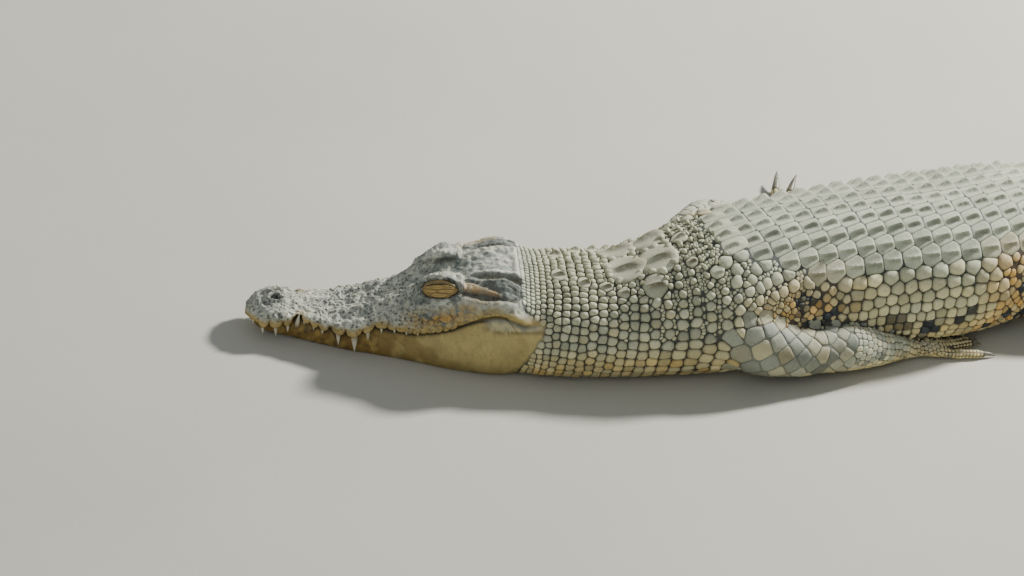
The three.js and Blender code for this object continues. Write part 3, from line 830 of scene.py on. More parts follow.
def leg_object(name, leg, hand, sizes):
    """A whole leg with its digits, joined."""
    inset = 0.6 * sizes.coat_depth / MM
    obj = limb_tube(name, leg_limb(leg, hand), LIMB_SIDES, LIMB_SPACING, inset)
    digits = [digit_limb(digit, hand) for digit in leg["digits"]]
    for i, digit in enumerate(digits):
        unite(obj, limb_tube(f"{name}_digit_{i}", digit, DIGIT_SIDES, DIGIT_SPACING, 0.35))
    if leg is HIND:
        for i, (first, second) in enumerate(zip(digits, digits[1:])):
            unite(obj, web_object(f"{name}_web_{i}", first, second))
    return obj


def soften_joins(obj, reach=JOIN_REACH, rounds=JOIN_ROUNDS):
    """Turns the sharp inner corners where legs, toes and body meet into soft folds."""
    mesh = obj.data
    points = points_of(obj)
    face_normals = values_of(mesh.polygons, "normal", width=3)
    centres = values_of(mesh.polygons, "center", width=3) / MM
    corner_edges = values_of(mesh.loops, "edge_index", np.int32)
    totals = values_of(mesh.polygons, "loop_total", np.int32)
    faces = np.repeat(np.arange(len(totals)), totals)
    order = np.argsort(corner_edges, kind="stable")
    edge, face = corner_edges[order], faces[order]
    pairs = np.nonzero(edge[:-1] == edge[1:])[0]
    one, two = face[pairs], face[pairs + 1]
    bend = (face_normals[one] * face_normals[two]).sum(-1)
    inward = ((centres[two] - centres[one]) * face_normals[one]).sum(-1) > 0
    sharp = edge[pairs[(bend < math.cos(SHARP_ANGLE)) & inward]]
    middles = points[edges_of(obj)[sharp]].mean(1)
    middles = middles[locate(middles)[0] > LEGS_FROM]
    tree = tree_of(middles)
    weights = np.zeros(len(points))
    behind = np.nonzero(points[:, 0] > middles[:, 0].min() - reach)[0]
    for i in behind:
        weights[i] = max(0.0, 1 - tree.find(points[i])[2] / reach)
    relax(obj, ramp(0, 1, weights), rounds)


def keep_surface(obj):
    """Keeps the skin's triangles for the scales to stand on, and gives its points."""
    mesh = obj.data
    mesh.calc_loop_triangles()
    corners = values_of(mesh.loop_triangles, "vertices", np.int32, 3)
    normals = values_of(mesh.vertices, "normal", width=3).astype(float)
    points = points_of(obj)
    workshop["tree"] = BVHTree.FromPolygons(points.tolist(), corners.tolist(), all_triangles=True)
    workshop["facing"] = unit(normals[corners].sum(1))
    return points


# ---- Markings, the same on the skin and the scales
def srgb(code):
    """Linear red, green and blue of a colour code."""
    parts = [int(code[i:i + 2], 16) / 255 for i in (0, 2, 4)]
    return tuple(p / 12.92 if p <= 0.04045 else ((p + 0.055) / 1.055) ** 2.4 for p in parts)


def blotches(points, size, seed):
    """Smooth noise at points in millimetres, from about 0 to 1."""
    shift = Vector((seed * 37.0, seed * 11.0, seed * 5.0))
    return np.array([0.5 + 0.7 * noise.noise(Vector(p) / size + shift) for p in points])


def leg_share(s, y, z):
    """1 on the legs and 0 on the body."""
    out = np.abs(y) / body_width(s)
    low = fade(0.9, 1.1, z / body_height(s))
    fore = window(s, 455, 480, 735, 790)
    hind = ramp(845, 875, s)
    return ramp(1.0, 1.09, out) * low * np.maximum(fore, hind)


# Painted shade: the dark bluish colour painted in the gaps between scales, on their sunk rims and at the
# feet of the keels.
PAINTED_SHADE_COLOUR = np.array([0.020, 0.028, 0.036])
BAR_WHORLS = 3.2  # whorls of the tail from one dark bar to the next


def tinted(base, colour, share):
    return mix(base, colour, clamp(share)[:, None])


class Layers:
    """Colours laid over one another at a number of points."""

    def __init__(self, colours, base, count):
        self.colours = colours
        self.tint = np.tile(getattr(colours, base), (count, 1))

    def lay(self, colour, share):
        """Lays a colour, named or given for each point, over what is there, by its share at each point."""
        over = getattr(self.colours, colour) if isinstance(colour, str) else colour
        self.tint = tinted(self.tint, over, share)


def markings(points, colours, on_leg=None):
    """The colour of the hide at points in millimetres; on_leg tells which are known to be on a leg."""
    s, y, z = locate(points)
    height = z / body_height(s)
    coarse = blotches(points, 26, 1)
    fine = blotches(points, 9, 2)
    hide = Layers(colours, "flank", len(points))
    lay = hide.lay
    lay("back", ramp(0.55, 0.8, height))
    lay("low_flank", fade(0.12, 0.42, height + 0.15 * (coarse - 0.5)))
    lay("belly", fade(0.0, 0.06, height))
    # Yellow and black marks lie behind the foreleg, low on the flank and in the groin.
    armpit = hump(s, 546, 52) * hump(height, 0.54, 0.17)
    groin = window(s, 735, 800, 880, 930) * fade(0.6, 0.85, height)
    shoulder = hump(s, 485, 30) * hump(height, 0.45, 0.2) * 0.35
    yellow = clamp(1.25 * armpit + 1.15 * groin + shoulder)
    lay("yellow", yellow * ramp(0.25, 0.5, coarse + 0.25))
    low_band = window(s, 590, 620, 740, 780) * hump(height, 0.27, 0.09)
    black = clamp(armpit * 1.1 + groin * 1.0 + low_band * 1.1 + 0.35 * shoulder)
    lay("black", ramp(0.62, 0.72, blotches(points, 20, 4) + 0.28 * (black - 0.72)) * ramp(0.15, 0.5, black))
    # Dark bars cross the tail.
    tail = ramp(880, 960, s)
    bar = 0.5 + 0.5 * np.sin((s - HIP_END) / WHORL * 2 * math.pi / BAR_WHORLS + 2.2 * (coarse - 0.5))
    lay("black", tail * 0.72 * ramp(0.62, 0.86, bar + 0.25 * (fine - 0.5)) * ramp(0.15, 0.4, height))
    # The neck is beige above and ochre below.
    neck = window(s, 268, 300, 440, 520)
    lay("neck", neck * ramp(0.3, 0.5, height))
    lay("ochre_neck", neck * fade(0.2, 0.5, height))
    # Legs are pale and dusty, yellower below.
    legs = leg_share(s, y, z)
    if on_leg is not None:
        legs = np.where(on_leg, 1.0, 0.4 * legs)
    leg = Layers(colours, "leg", len(points))
    leg.lay("low_flank", fade(6, 26, z))
    lay(leg.tint, legs)
    lay("black", legs * 0.55 * ramp(0.68, 0.8, blotches(points, 14, 6)))
    # The right shoulder has a mark of its own.
    mark = hump(s, 486, 15) * window(-y, 36, 46, 78, 92) * ramp(90, 105, z)
    lay("yellow", 0.85 * mark * ramp(0.35, 0.55, fine))
    lay("black", 0.9 * mark * fade(0.3, 0.45, fine))
    # The head: grey above, ochre lips, an olive jaw.
    head = 1 - ramp(-5, 4, s - scale_front(z)) * ramp(0, 1, z)
    on = head > 0
    if on.any():
        over = head_markings(points[on], s[on], y[on], z[on], colours)
        hide.tint[on] = mix(hide.tint[on], over, head[on, None])
    value = 1 + 0.24 * (coarse - 0.5) + 0.2 * (fine - 0.5)
    # The top of the back over the trunk is painted a little darker: painted shade that tones down the light
    # from above.
    value -= 0.09 * ramp(0.86, 1.0, height) * ramp(470, 500, s)
    return clamp(hide.tint * value[:, None])


def head_markings(points, s, y, z, colours):
    t = ring_place(s, y, z)
    out = np.abs(y)
    side = ramp(0.5, 0.9, out / cheek_width(s))
    above = z - lip_height(s)
    coarse = blotches(points, 17, 8)
    middle = blotches(points, 8, 10)
    fine = blotches(points, 3.5, 9)
    # Pale crust on grey skin, with bluish patches in the hollows.
    snout = fade(150, 180, s)
    hide = Layers(colours, "head", len(points))
    lay = hide.lay
    lay("crust", (0.66 + 0.2 * snout) * ramp(0.4, 0.6, middle))
    lay("slate", 0.55 * fade(0.24, 0.4, middle) * ramp(3, 9, above))
    slate = ramp(0.47, 0.66, coarse) * ramp(7, 18, above)
    slate = np.maximum(slate, 0.9 * hump(s, 118, 16) * hump(out, 22, 8) * ramp(10, 16, above))
    slate = np.maximum(slate, 0.7 * hump(s, 158, 15) * hump(above, 24, 9) * side)
    slate = np.maximum(slate, 0.85 * hump(s, 190, 24) * fade(9, 14, out))
    slate = 0.78 * slate * (1 - 0.75 * ramp(150, 172, s) * ramp(0.29, 0.34, t))
    lay("slate", slate)
    # Fine dark speckles everywhere above the lips.
    lay("pit", 0.6 * ramp(0.6, 0.74, fine) * ramp(-2, 3, above))
    lay("crust", 0.45 * fade(0.26, 0.38, fine) * ramp(-2, 3, above))
    lay("slate", 0.5 * fade(16, 44, s) * ramp(4, 9, above))
    # The roof of the skull is streaked, and its raised edges are pale.
    roof = ramp(210, 224, s) * fade(26, 32, out) * ramp(85, 92, z)
    streaks = blotches(points * np.array([0.35, 1, 1]), 5, 12)
    lay("crust", 0.5 * roof * fade(0.3, 0.45, streaks))
    lay("slate", 0.75 * roof * ramp(0.48, 0.62, streaks))
    edge = window(s, 214, 226, 270, 275) * hump(t, ROOF_EDGE, 0.018)
    edge = np.maximum(edge, hump(s, 268, 2.6) * (t < ROOF_EDGE))
    lay("crust", 0.9 * edge)
    brow_band = hump(s, 192, 16) * hump(out, 21, 4.5) * ramp(84, 90, z)
    lay("crust", 0.7 * brow_band)
    # Ochre follows the lips and spreads over the cheek under the eye.
    lips = fade(4, 11, above + 5 * (coarse - 0.5) + 3 * (middle - 0.5))
    lay("lips", 0.92 * lips * side)
    cheek = window(s, 148, 172, 240, 262) * fade(17, 31, above) * side
    lay("lips", 0.8 * cheek * ramp(0.3, 0.5, middle + 0.14))
    lay("slate", 0.4 * cheek * fade(0.3, 0.42, fine))
    spot = hump(s, 192, 24) * hump(above, 16, 5) * side
    lay("orange", 0.85 * spot * ramp(0.3, 0.45, middle))
    cracks = fade(0.05, 0.14, cells(points, 9))
    lay("lid_dark", 0.7 * spot * cracks)
    lay("pit", 0.4 * cheek * cracks)
    # The temple is dark and bluish: partly its own colour, partly painted shade of its recess; the brown
    # band under the edge of the roof is a painted shadow of that edge.
    under = temple_line(s)
    temple = window(s, 218, 236, 268, 275) * ramp(ROOF_EDGE + 0.01, ROOF_EDGE + 0.03, t)
    temple = temple * fade(under - 0.012, under, t)
    lay("slate", 0.9 * temple)
    lay("black", temple * (0.3 + 0.45 * ramp(0.45, 0.6, middle)))
    lay("jaw_front", 0.5 * temple * hump(t, ROOF_EDGE + 0.045, 0.02))
    # Smooth orange skin lies at the eye's rear corner; painted shade darkens the crease round it, the crease
    # at the foot of each mound and the groove round the lids.
    wedge, border = eye_wedge(s, t)
    near = np.where(y > 0, 0.8, 0.35)
    lay("orange", near * wedge * mix(0.75, 1.0, ramp(0.4, 0.6, middle)))
    lay("lid_dark", 0.85 * border)
    lay("lid_dark", 0.75 * mound_foot(s, out) * (z > 80))
    u, w = eye_place(s, y, z)
    rim = np.sqrt(u**2 + w**2)
    near_eye = (out > 12) * ramp(60, 66, z)
    lay("lid_dark", near_eye * 0.85 * hump(rim, 1.05, 0.07))
    band = hump(s, 210, 3.4) * window(out, 22, 25, 43, 46) * (z > 84)
    lay("crust", 0.6 * band)
    lay("lid_dark", 0.6 * band * ramp(0.3, 0.9, np.sin(s * 2.6)))
    # Painted shade darkens the groove under the ear flap, and a painted highlight lightens the ridge beside
    # it.
    below = hump(t, under, 0.009) * window(s, 205, 210, 262, 270)
    lay("lid_dark", 0.95 * below)
    pale = hump(t, under + 0.03, 0.012) * window(s, 205, 215, 258, 266)
    lay("crust", 0.55 * pale)
    # The pits are painted dark as painted shade, and the ridges between them pale as a painted highlight.
    hollow = cells(points, PIT_SPACING)
    bone = snout * ramp(5, 10, above)
    sized = ramp(0.4, 0.9, hollow + 0.35 * (middle - 0.5))
    lay("pit", (0.2 + 0.34 * bone) * sized * ramp(3, 8, above))
    lay("crust", 0.5 * bone * fade(0.06, 0.2, hollow))
    # The lower jaw is ochre brown in front and smooth olive yellow behind.
    behind = ramp(110, 190, s + 30 * (coarse - 0.5))
    lower = Layers(colours, "jaw_front", len(points))
    lower.lay("lips", 0.5 * ramp(0.45, 0.6, middle))
    lower.lay("jaw", behind)
    lower.lay("pit", 0.55 * ramp(0.6, 0.78, fine) * (1 - 0.75 * behind))
    mottled = ramp(0.46, 0.62, coarse) * fade(180, 235, s) * ramp(90, 130, s)
    lower.lay("jaw_front", 0.5 * mottled)
    lower.lay("jaw_front", 0.55 * fade(2, 20, z) * ramp(0.35, 0.6, coarse))
    lay(lower.tint, fade(-1.5, 0.5, above))
    # The mouth line is painted dark as the painted shadow under the lip; the gaps between the lobes of the
    # lip, the fold line at the mouth's corner, the notch and the nostrils are painted dark as painted shade
    # in their grooves and openings.
    line = hump(above + 0.8 * lip_scallop(s), -3.4, 2.9) * fade(276, 294, s) * side
    lay("mouth", 0.95 * line)
    pad = window(s, 232, 244, 288, 298) * side
    lay("mouth", 0.5 * pad * hump(z, corner_line(s), 2.0))
    on_pad = pad * ramp(0, 2, z - corner_line(s)) * fade(-3, -1, above)
    lay("crust", 0.3 * on_pad)
    lay("slate", 0.35 * on_pad * ramp(0.45, 0.6, middle))
    lay("mouth", 0.75 * lip_lobes(s)[1] * side * hump(above, 0.5, 3.2))
    notch = ((s - NOTCH_STATION - 0.5) / 5.2) ** 2 + ((z - 27) / 8) ** 2
    lay("mouth", 0.9 * np.exp(-(notch**2)) * side)
    nostril = ((s - NOSTRIL[0]) / 5.4) ** 2 + ((out - NOSTRIL[1]) / 3.2) ** 2
    lay("mouth", np.exp(-(nostril**2)) * ramp(33, 36, z))
    return hide.tint


# ---- Scales: each grows from a root on the skin and fills the room its neighbours leave
RING_TABLE = np.linspace(0, 1, 241)
OFBAKE_PATCH = 0.0015  # half the width of a scale's patch on the unwrapped skin
# The body's skin unwrapped: its whole length, the middle of the back across it and half its width.
UNWRAP_LENGTH = BODY_END + 60
UNWRAP_CROWN = 0.75
UNWRAP_HALF = 0.24
REACH_LIMIT = 1.5  # how far past its own size a scale may spread
NEIGHBOURS = 15
ROOT_REACH = 4.5  # a root further than this from the skin is one that another part hides
LOWEST_ROOT = 0.4


class Roots:
    """The roots of scales, gathered in rows and then laid on the skin."""

    def __init__(self, sizes):
        self.sizes = sizes
        self.dice = np.random.default_rng(RANDOM_SEED)
        self.rows = []

    def add(self, group, points, along, unwrap, size, height, keel, gap=1.0, tilt=0.0):
        """Points in millimetres; size is half a scale's pitch, unwrap a place on the unwrapped skin."""
        count = len(points)
        spread = [np.broadcast_to(np.asarray(v, float), count) for v in (size, height, keel, gap, tilt)]
        self.rows.append((np.full(count, group), points, along, *spread, unwrap))

    def body_row(self, group, s, arcs, size, height, keel=0.0, jitter=0.0, gap=1.0, tilt=0.0, hands=(1, -1)):
        """Roots on both sides of the body at a station (or stations), at lengths down the half ring."""
        arcs = np.atleast_1d(np.asarray(arcs, float))
        if not len(arcs):
            return
        s = np.broadcast_to(np.asarray(s, float), arcs.shape)
        for hand in hands:
            down = arcs + jitter * self.dice.uniform(-1, 1, len(arcs))
            back = s + jitter * self.dice.uniform(-1, 1, len(arcs))
            y, z, total = on_ring(back, down)
            sweep = down < total
            points = place(back, hand * y, z)[sweep]
            across = UNWRAP_CROWN + hand * UNWRAP_HALF * down / total
            unwrap = np.stack([back / UNWRAP_LENGTH, across], -1)[sweep]
            values = [np.broadcast_to(v, arcs.shape)[sweep] for v in (size, height, keel, gap)]
            self.add(group, points, backward(back[sweep]), unwrap, *values, tilt)

    def leg_row(self, group, index, limb, along, angle, size, height, keel=0.0, gap=0.8, band=0.0, tilt=0.0):
        """Roots on a leg or a toe: distances along it and angles round it."""
        points = limb.surface(along, angle)
        ahead = limb.frame_at(along)[0]
        down = 0.22 * clamp(along / limb.length) * (0.18 if band else 1.0)
        around = 0.14 * (angle / (2 * math.pi) + 0.5)
        unwrap = np.stack([0.25 * index + 0.01 + down + 0.04 * band, (0.3 if band else 0.06) + around], -1)
        self.add(group, points, ahead, unwrap, size, height, keel, gap, tilt)

    def settle(self):
        """Lays the roots on the skin and drops those that the skin hides."""
        names = ("group", "point", "along", "size", "height", "keel", "gap", "tilt", "unwrap")
        columns = [np.concatenate(column) for column in zip(*self.rows)]
        roots = dict(zip(names, columns))
        tree, facing = workshop["tree"], workshop["facing"]
        keep, point, normal = [], [], []
        for i, p in enumerate(roots["point"]):
            spot, _, triangle, distance = tree.find_nearest(p)
            if distance < ROOT_REACH and spot[2] > LOWEST_ROOT:
                keep.append(i)
                point.append(spot)
                normal.append(facing[triangle])
        roots = picked(roots, keep)
        roots["point"] = np.array(point)
        roots["normal"] = unit(np.array(normal))
        return thinned(roots)


def on_ring(s, arcs):
    """Distance out, height and half girth at lengths down the half rings at stations."""
    y, z = section(s, RING_TABLE)
    run = np.concatenate([np.zeros((len(s), 1)), np.cumsum(np.hypot(np.diff(y), np.diff(z)), axis=1)], 1)
    found = [(np.interp(a, r, ys), np.interp(a, r, zs)) for a, r, ys, zs in zip(arcs, run, y, z)]
    out, up = np.array(found).T
    return out, up, run[:, -1]


def picked(roots, which):
    return {name: values[which] for name, values in roots.items()}


def girth_at(s):
    return on_ring(np.array([s]), np.array([0.0]))[2][0]


def heights_at(s, arcs):
    """Heights at lengths down the half ring at one station."""
    return on_ring(np.full(len(arcs), s), arcs)[1]


def thinned(roots):
    """Drops a root that stands inside a bigger neighbour's scale."""
    points, sizes = roots["point"], roots["size"]
    tree = tree_of(points)
    order = np.argsort(-sizes, kind="stable")
    taken = np.ones(len(points), bool)
    for i in order:
        if not taken[i]:
            continue
        for _, j, _ in tree.find_range(points[i], 0.8 * sizes[i]):
            if j != i and taken[j] and sizes[j] <= sizes[i]:
                taken[j] = False
    return picked(roots, taken)


def neighbours_of(points):
    tree = tree_of(points)
    return np.array([[j for _, j, _ in tree.find_n(p, NEIGHBOURS + 1)][1:] for p in points])


# Share of the reach and of the height of each ring of a scale, from the sunk rim to near its middle.
BEAD_RINGS = ((1.0, -0.45), (1.0, 0.2), (0.9, 0.66), (0.6, 0.96))
SCUTE_RINGS = ((1.0, -0.5), (1.0, 0.5), (0.95, 0.9), (0.78, 0.98), (0.57, 1.0), (0.37, 1.0), (0.18, 1.0))
TILE_RINGS = ((1.0, -0.45), (1.0, 0.5), (0.95, 0.9), (0.6, 1.0))
SINK = 1.2
KEEL_WIDTH = 0.22


def keel_rise(u, v):
    """A keel along a scale: u back along it and v across it, from -1 to 1 at its borders."""
    ridge = window(u, -0.9, 0.25, 0.6, 0.95)
    return ridge * clamp(1 - np.abs(v) / KEEL_WIDTH) ** 1.15


def skin_drop(base, normal, along, side, heading_to, reach):
    """How far the skin lies above each scale's tangent plane at its rim."""
    tree = workshop["tree"]
    drop = np.zeros(reach.shape)
    rim = base[:, None] + reach[..., None] * (heading_to[None, :, :1] * along[:, None]
                                              + heading_to[None, :, 1:] * side[:, None])
    for i in range(len(base)):
        lift = normal[i] * 6
        for k in range(reach.shape[1]):
            spot = tree.ray_cast(rim[i, k] + lift, -normal[i], 14)[0]
            drop[i, k] = -reach[i, k] if spot is None else (np.array(spot) - base[i]) @ normal[i]
    return drop


def grow_scales(name, roots, chosen, directions, rings, colours):
    """One joined mesh of the chosen scales."""
    subset = picked(roots, chosen)
    reach, along, side, heading_to = reaches(roots, subset, workshop["near"][chosen], directions)
    count = len(chosen)
    dice = np.random.default_rng(RANDOM_SEED + 7 * count)
    base, normal = subset["point"], subset["normal"]
    drop = skin_drop(base, normal, along, side, heading_to, reach)
    steep = 1.0 * (np.abs(drop) > 0.5 * reach)
    steep = np.maximum(steep, 0.6 * np.maximum(np.roll(steep, 1, 1), np.roll(steep, -1, 1)))
    reach = reach * (1 - 0.38 * steep)
    drop = skin_drop(base, normal, along, side, heading_to, reach)
    drop = np.clip(drop, -0.5 * reach, 0.25 * reach)
    size, height = subset["size"][:, None], subset["height"][:, None]
    height = height * dice.uniform(0.8, 1.2, (count, 1))
    keel = subset["keel"][:, None] * dice.uniform(0.8, 1.15, (count, 1))
    tilt = subset["tilt"][:, None]
    lean = dice.uniform(-0.16, 0.16, (count, 2))
    layers = []
    for share, rise in rings:
        u = heading_to[None, :, 0] * reach * share
        v = heading_to[None, :, 1] * reach * share
        up = drop * share**2 + (rise * height if rise > 0 else -SINK)
        if rise > 0:
            up = up + keel * keel_rise(u / size, v / size) + tilt * height * u / size
            up = up + height * (lean[:, :1] * u + lean[:, 1:] * v) / size
        layers.append(base[:, None] + u[..., None] * along[:, None] + v[..., None] * side[:, None]
                      + up[..., None] * normal[:, None])
    crown = base + normal * (height * rings[-1][1] + keel * keel_rise(0 * size, 0 * size))
    points = np.concatenate([np.stack(layers, 1).reshape(count, -1, 3), crown[:, None]], 1)
    points[..., 2] = np.maximum(points[..., 2], 0.02)
    each = points.shape[1]
    quads, k, after = walls(len(rings), directions)
    top = (len(rings) - 1) * directions
    fans = np.stack([top + k, top + after, np.full(directions, each - 1)], -1)
    floor = k[::-1][None]
    start = np.arange(count)[:, None, None] * each
    faces = [(block[None] + start).reshape(-1, block.shape[1]) for block in (quads, fans, floor)]
    obj = new_object(name, points.reshape(-1, 3), faces)
    paint_scales(obj, subset, points, along, side, rings, directions, colours)
    patch = np.zeros((count, each, 2))
    for level, (share, _) in enumerate(rings):
        patch[:, level * directions:(level + 1) * directions] = OFBAKE_PATCH * share * heading_to[None]
    patch += subset["unwrap"][:, None]
    bake_map(obj, patch.reshape(-1, 2))
    shade_smooth(obj)
    return obj


def bake_map(obj, patch):
    """A UV map for the export's bake, from a place for each vertex."""
    corners = values_of(obj.data.loops, "vertex_index", np.int32)
    layer = obj.data.uv_layers.new(name="OFBake")
    layer.data.foreach_set("uv", patch[corners].astype(np.float32).ravel())


def reaches(roots, own, near, directions):
    """How far scales reach in each direction of their tangent planes, up to their neighbours."""
    near_normals, near_sizes = roots["normal"][near], roots["size"][near]
    normals, sizes = own["normal"], own["size"]
    along = unit(own["along"] - normals * (own["along"] * normals).sum(-1, keepdims=True))
    side = np.cross(normals, along)
    away = roots["point"][near] - own["point"][:, None]
    flat = np.stack([(away * along[:, None]).sum(-1), (away * side[:, None]).sum(-1)], -1)
    square = (flat**2).sum(-1)
    facing = (near_normals * normals[:, None]).sum(-1) > -0.2
    angle = np.linspace(0, 2 * math.pi, directions, endpoint=False)
    heading_to = np.stack([np.cos(angle), np.sin(angle)], -1)
    forward = flat @ heading_to.T
    border = (square + sizes[:, None] ** 2 - near_sizes**2)[..., None] / (2 * np.maximum(forward, 1e-6))
    border = np.where((forward > 1e-3) & facing[..., None], border, 1e9)
    reach = np.minimum(border.min(1), REACH_LIMIT * sizes[:, None])
    ends = np.abs(heading_to[:, 0])
    rows = np.where(own["tilt"][:, None] > 0.6, 0.35 + 2.6 * ends**3, 0.65 + 0.65 * ends)
    reach = reach - 0.5 * own["gap"][:, None] * rows
    reach = 0.07 * np.roll(reach, 1, 1) + 0.86 * reach + 0.07 * np.roll(reach, -1, 1)
    return np.maximum(reach, 0.25 * sizes[:, None]), along, side, heading_to


def paint(obj, tint, finish=0.0):
    """Stores the colour of the vertices and their finish (pits, speckles, dust)."""
    for name, values in (("tint", tint), ("finish", np.broadcast_to(finish, tint.shape))):
        layer = obj.data.attributes.new(name, "FLOAT_COLOR", "POINT")
        full = np.concatenate([values, np.ones((len(values), 1))], 1).astype(np.float32)
        layer.data.foreach_set("color", full.ravel())


GROUP_VALUES = {"arms": 0.83, "legs": 1.34, "toes": 1.65, "flank": 1.16, "neck": 1.08}


def paint_scales(obj, subset, points, along, side, rings, directions, colours):
    """Scales carry the hide's markings, with painted shade on their rims and a painted highlight on their
    tops; no two have quite the same tone.
    """
    count, each = points.shape[:2]
    dice = np.random.default_rng(RANDOM_SEED + count)
    tint = markings(subset["point"], colours, np.isin(subset["group"], ("arms", "legs", "toes")))
    height = subset["point"][:, 2] / body_height(locate(subset["point"])[0])
    warm = np.clip(dice.normal(0, 0.22, count), -0.4, 0.5) * fade(0.6, 0.9, height)
    tint = tinted(tint, colours.low_flank, clamp(warm))
    tint = tinted(tint, colours.slate, clamp(-0.9 * warm))
    bluish = (dice.uniform(0, 1, count) < 0.3) & (subset["group"] == "arms")
    tint = tinted(tint, colours.slate, 0.4 * bluish)
    for group, value in GROUP_VALUES.items():
        tint[subset["group"] == group] *= value
    golden = clamp(2.2 * (tint[:, 0] - 1.5 * tint[:, 2]) / tint[:, 0])
    tint = tinted(tint, colours.flank, golden * dice.uniform(0, 0.75, count))
    tint = tint * np.clip(dice.normal(1, 0.13, (count, 1)), 0.68, 1.3)
    # Each ring is painted from dark at the sunk rim to a little brighter than the tint at the top: painted
    # shade and a painted highlight.
    shade = np.ones(each)
    for level, (_, rise) in enumerate(rings):
        lit = mix(0.34, 1.08, min(rise / 0.96, 1))
        shade[level * directions:(level + 1) * directions] = 0.12 if rise < 0 else lit
    full = mix(PAINTED_SHADE_COLOUR, tint[:, None], shade[None, :, None])
    # The tops of the large keels on the nape are worn brown.
    lie = points - subset["point"][:, None]
    lift = (lie * subset["normal"][:, None]).sum(-1)
    worn = ramp(0.35, 0.8, lift / (subset["height"] + subset["keel"])[:, None])
    worn = worn * (subset["keel"] > 3.2)[:, None] * (subset["tilt"] < 0.2)[:, None] * 0.72
    full = mix(full, 0.75 * colours.jaw_front, worn[..., None])
    # Painted shade darkens the feet of the keels.
    v = np.abs((lie * side[:, None]).sum(-1)) / subset["size"][:, None]
    u = (lie * along[:, None]).sum(-1) / subset["size"][:, None]
    foot = hump(v, 0.8 * KEEL_WIDTH, 0.13) * window(u, -0.7, 0, 0.7, 0.95)
    foot = foot * (subset["keel"] > 3)[:, None]
    full = mix(full, PAINTED_SHADE_COLOUR, 0.5 * foot[..., None])
    finish = np.zeros((count, each, 3))
    finish[..., 1] = 0.45
    finish[..., 2] = ramp(0.5, 1.0, shade)[None]
    paint(obj, full.reshape(-1, 3), finish.reshape(-1, 3))


# ---- Where the scales grow
TRUNK_START = 478
ROWS = 19
ROW = 22.6
scutes_beside = profile((478, 2.2), (500, 3.3), (525, 4.3), (550, 5.3), (800, 5.3), (850, 4.3), (880, 3.4))
FLANK_LINES = (
    # length below the last scute, half size, pitch along the body
    (8, 7.9, 18.5), (21, 7.2, 16), (34, 6.6, 14.2), (46.5, 6.1, 12.4), (59, 5.6, 11.3), (69.5, 5.3, 11.3),
    (79.5, 5.0, 10.6), (89, 4.9, 10.6), (98.5, 4.9, 10.6), (108, 5.0, 11.3), (118, 5.2, 11.3),
    (128.5, 5.4, 11.3), (139, 5.6, 11.3), (150, 5.8, 11.3),
)
BELLY_SIZE = 6.2
BELLY_TOP = 14  # height where the flank's scales give way to the belly's
GRANULE_PITCH = 3.3


def swept(arcs):
    """How far back a row across the body lies at lengths down from the middle of the back."""
    return 0.0022 * np.minimum(arcs, 115) ** 2 + 0.5 * np.clip(arcs - 115, 0, None)


def scute_rows(roots):
    """Keeled scutes in rows across the back."""
    width = roots.sizes.scute_width / MM
    for i in range(ROWS):
        s = TRUNK_START + ROW * i
        count = int(scutes_beside(s))
        arcs = (np.arange(count) + 0.5) * width
        keel = roots.sizes.keel_height / MM * np.where(np.arange(count) == count - 1, 0.85, 1.0)
        roots.body_row("scutes", s + swept(arcs), arcs, 0.52 * ROW, 0.75, keel,
                       jitter=0.5, gap=0.3, tilt=1.1)


def nape_plates(roots):
    """Large keeled plates on the nape, turned a little to the right, and smaller ones behind the skull."""
    plates = (
        # station, length down the ring (negative to the animal's right), half size, keel
        (378, 9, 21, 5.2), (376, -31, 21, 5.2), (411, 10, 22, 5.2), (409, -34, 22, 5.2),
        (401, 44, 14.5, 4.8), (397, -68, 14.5, 4.8),
        (310, 16.5, 9.5, 4.5), (335, 27.5, 8, 4.2), (356, 33, 7.5, 4), (373, 42, 7.5, 4),
        (310, -24, 9, 4.5), (333, -38, 8, 4.2), (353, -45, 7.5, 4), (371, -58, 7.5, 4),
        (439, -10, 9, 3.8), (437, 30, 7, 3.4), (438, -46, 8, 3.6), (456, 52, 7.5, 3.2), (458, -66, 7.5, 3.2),
    )
    for s, arc, size, keel in plates:
        height = 2.6 if size > 12 else 2.2
        roots.body_row("scutes", s, abs(arc), size, height, keel, jitter=0.8, gap=1.3, tilt=0.1,
                       hands=(1 if arc > 0 else -1,))


def scale_front(z):
    """The station where the neck's scales begin, by height."""
    low = 279 + 20 * clamp((z - 15) / 54)
    return np.where(z < 68, low, 273 + 24 * hump(z, 70, 11))


def neck_pitch(share, start, growth):
    """Beads stand wider apart on the sides and towards the shoulders."""
    side = hump(share, 0.55, 0.28)
    return mix(4.3, 6.4 + 2.9 * side, start) + 3.4 * growth * ramp(0.15, 0.4, share)


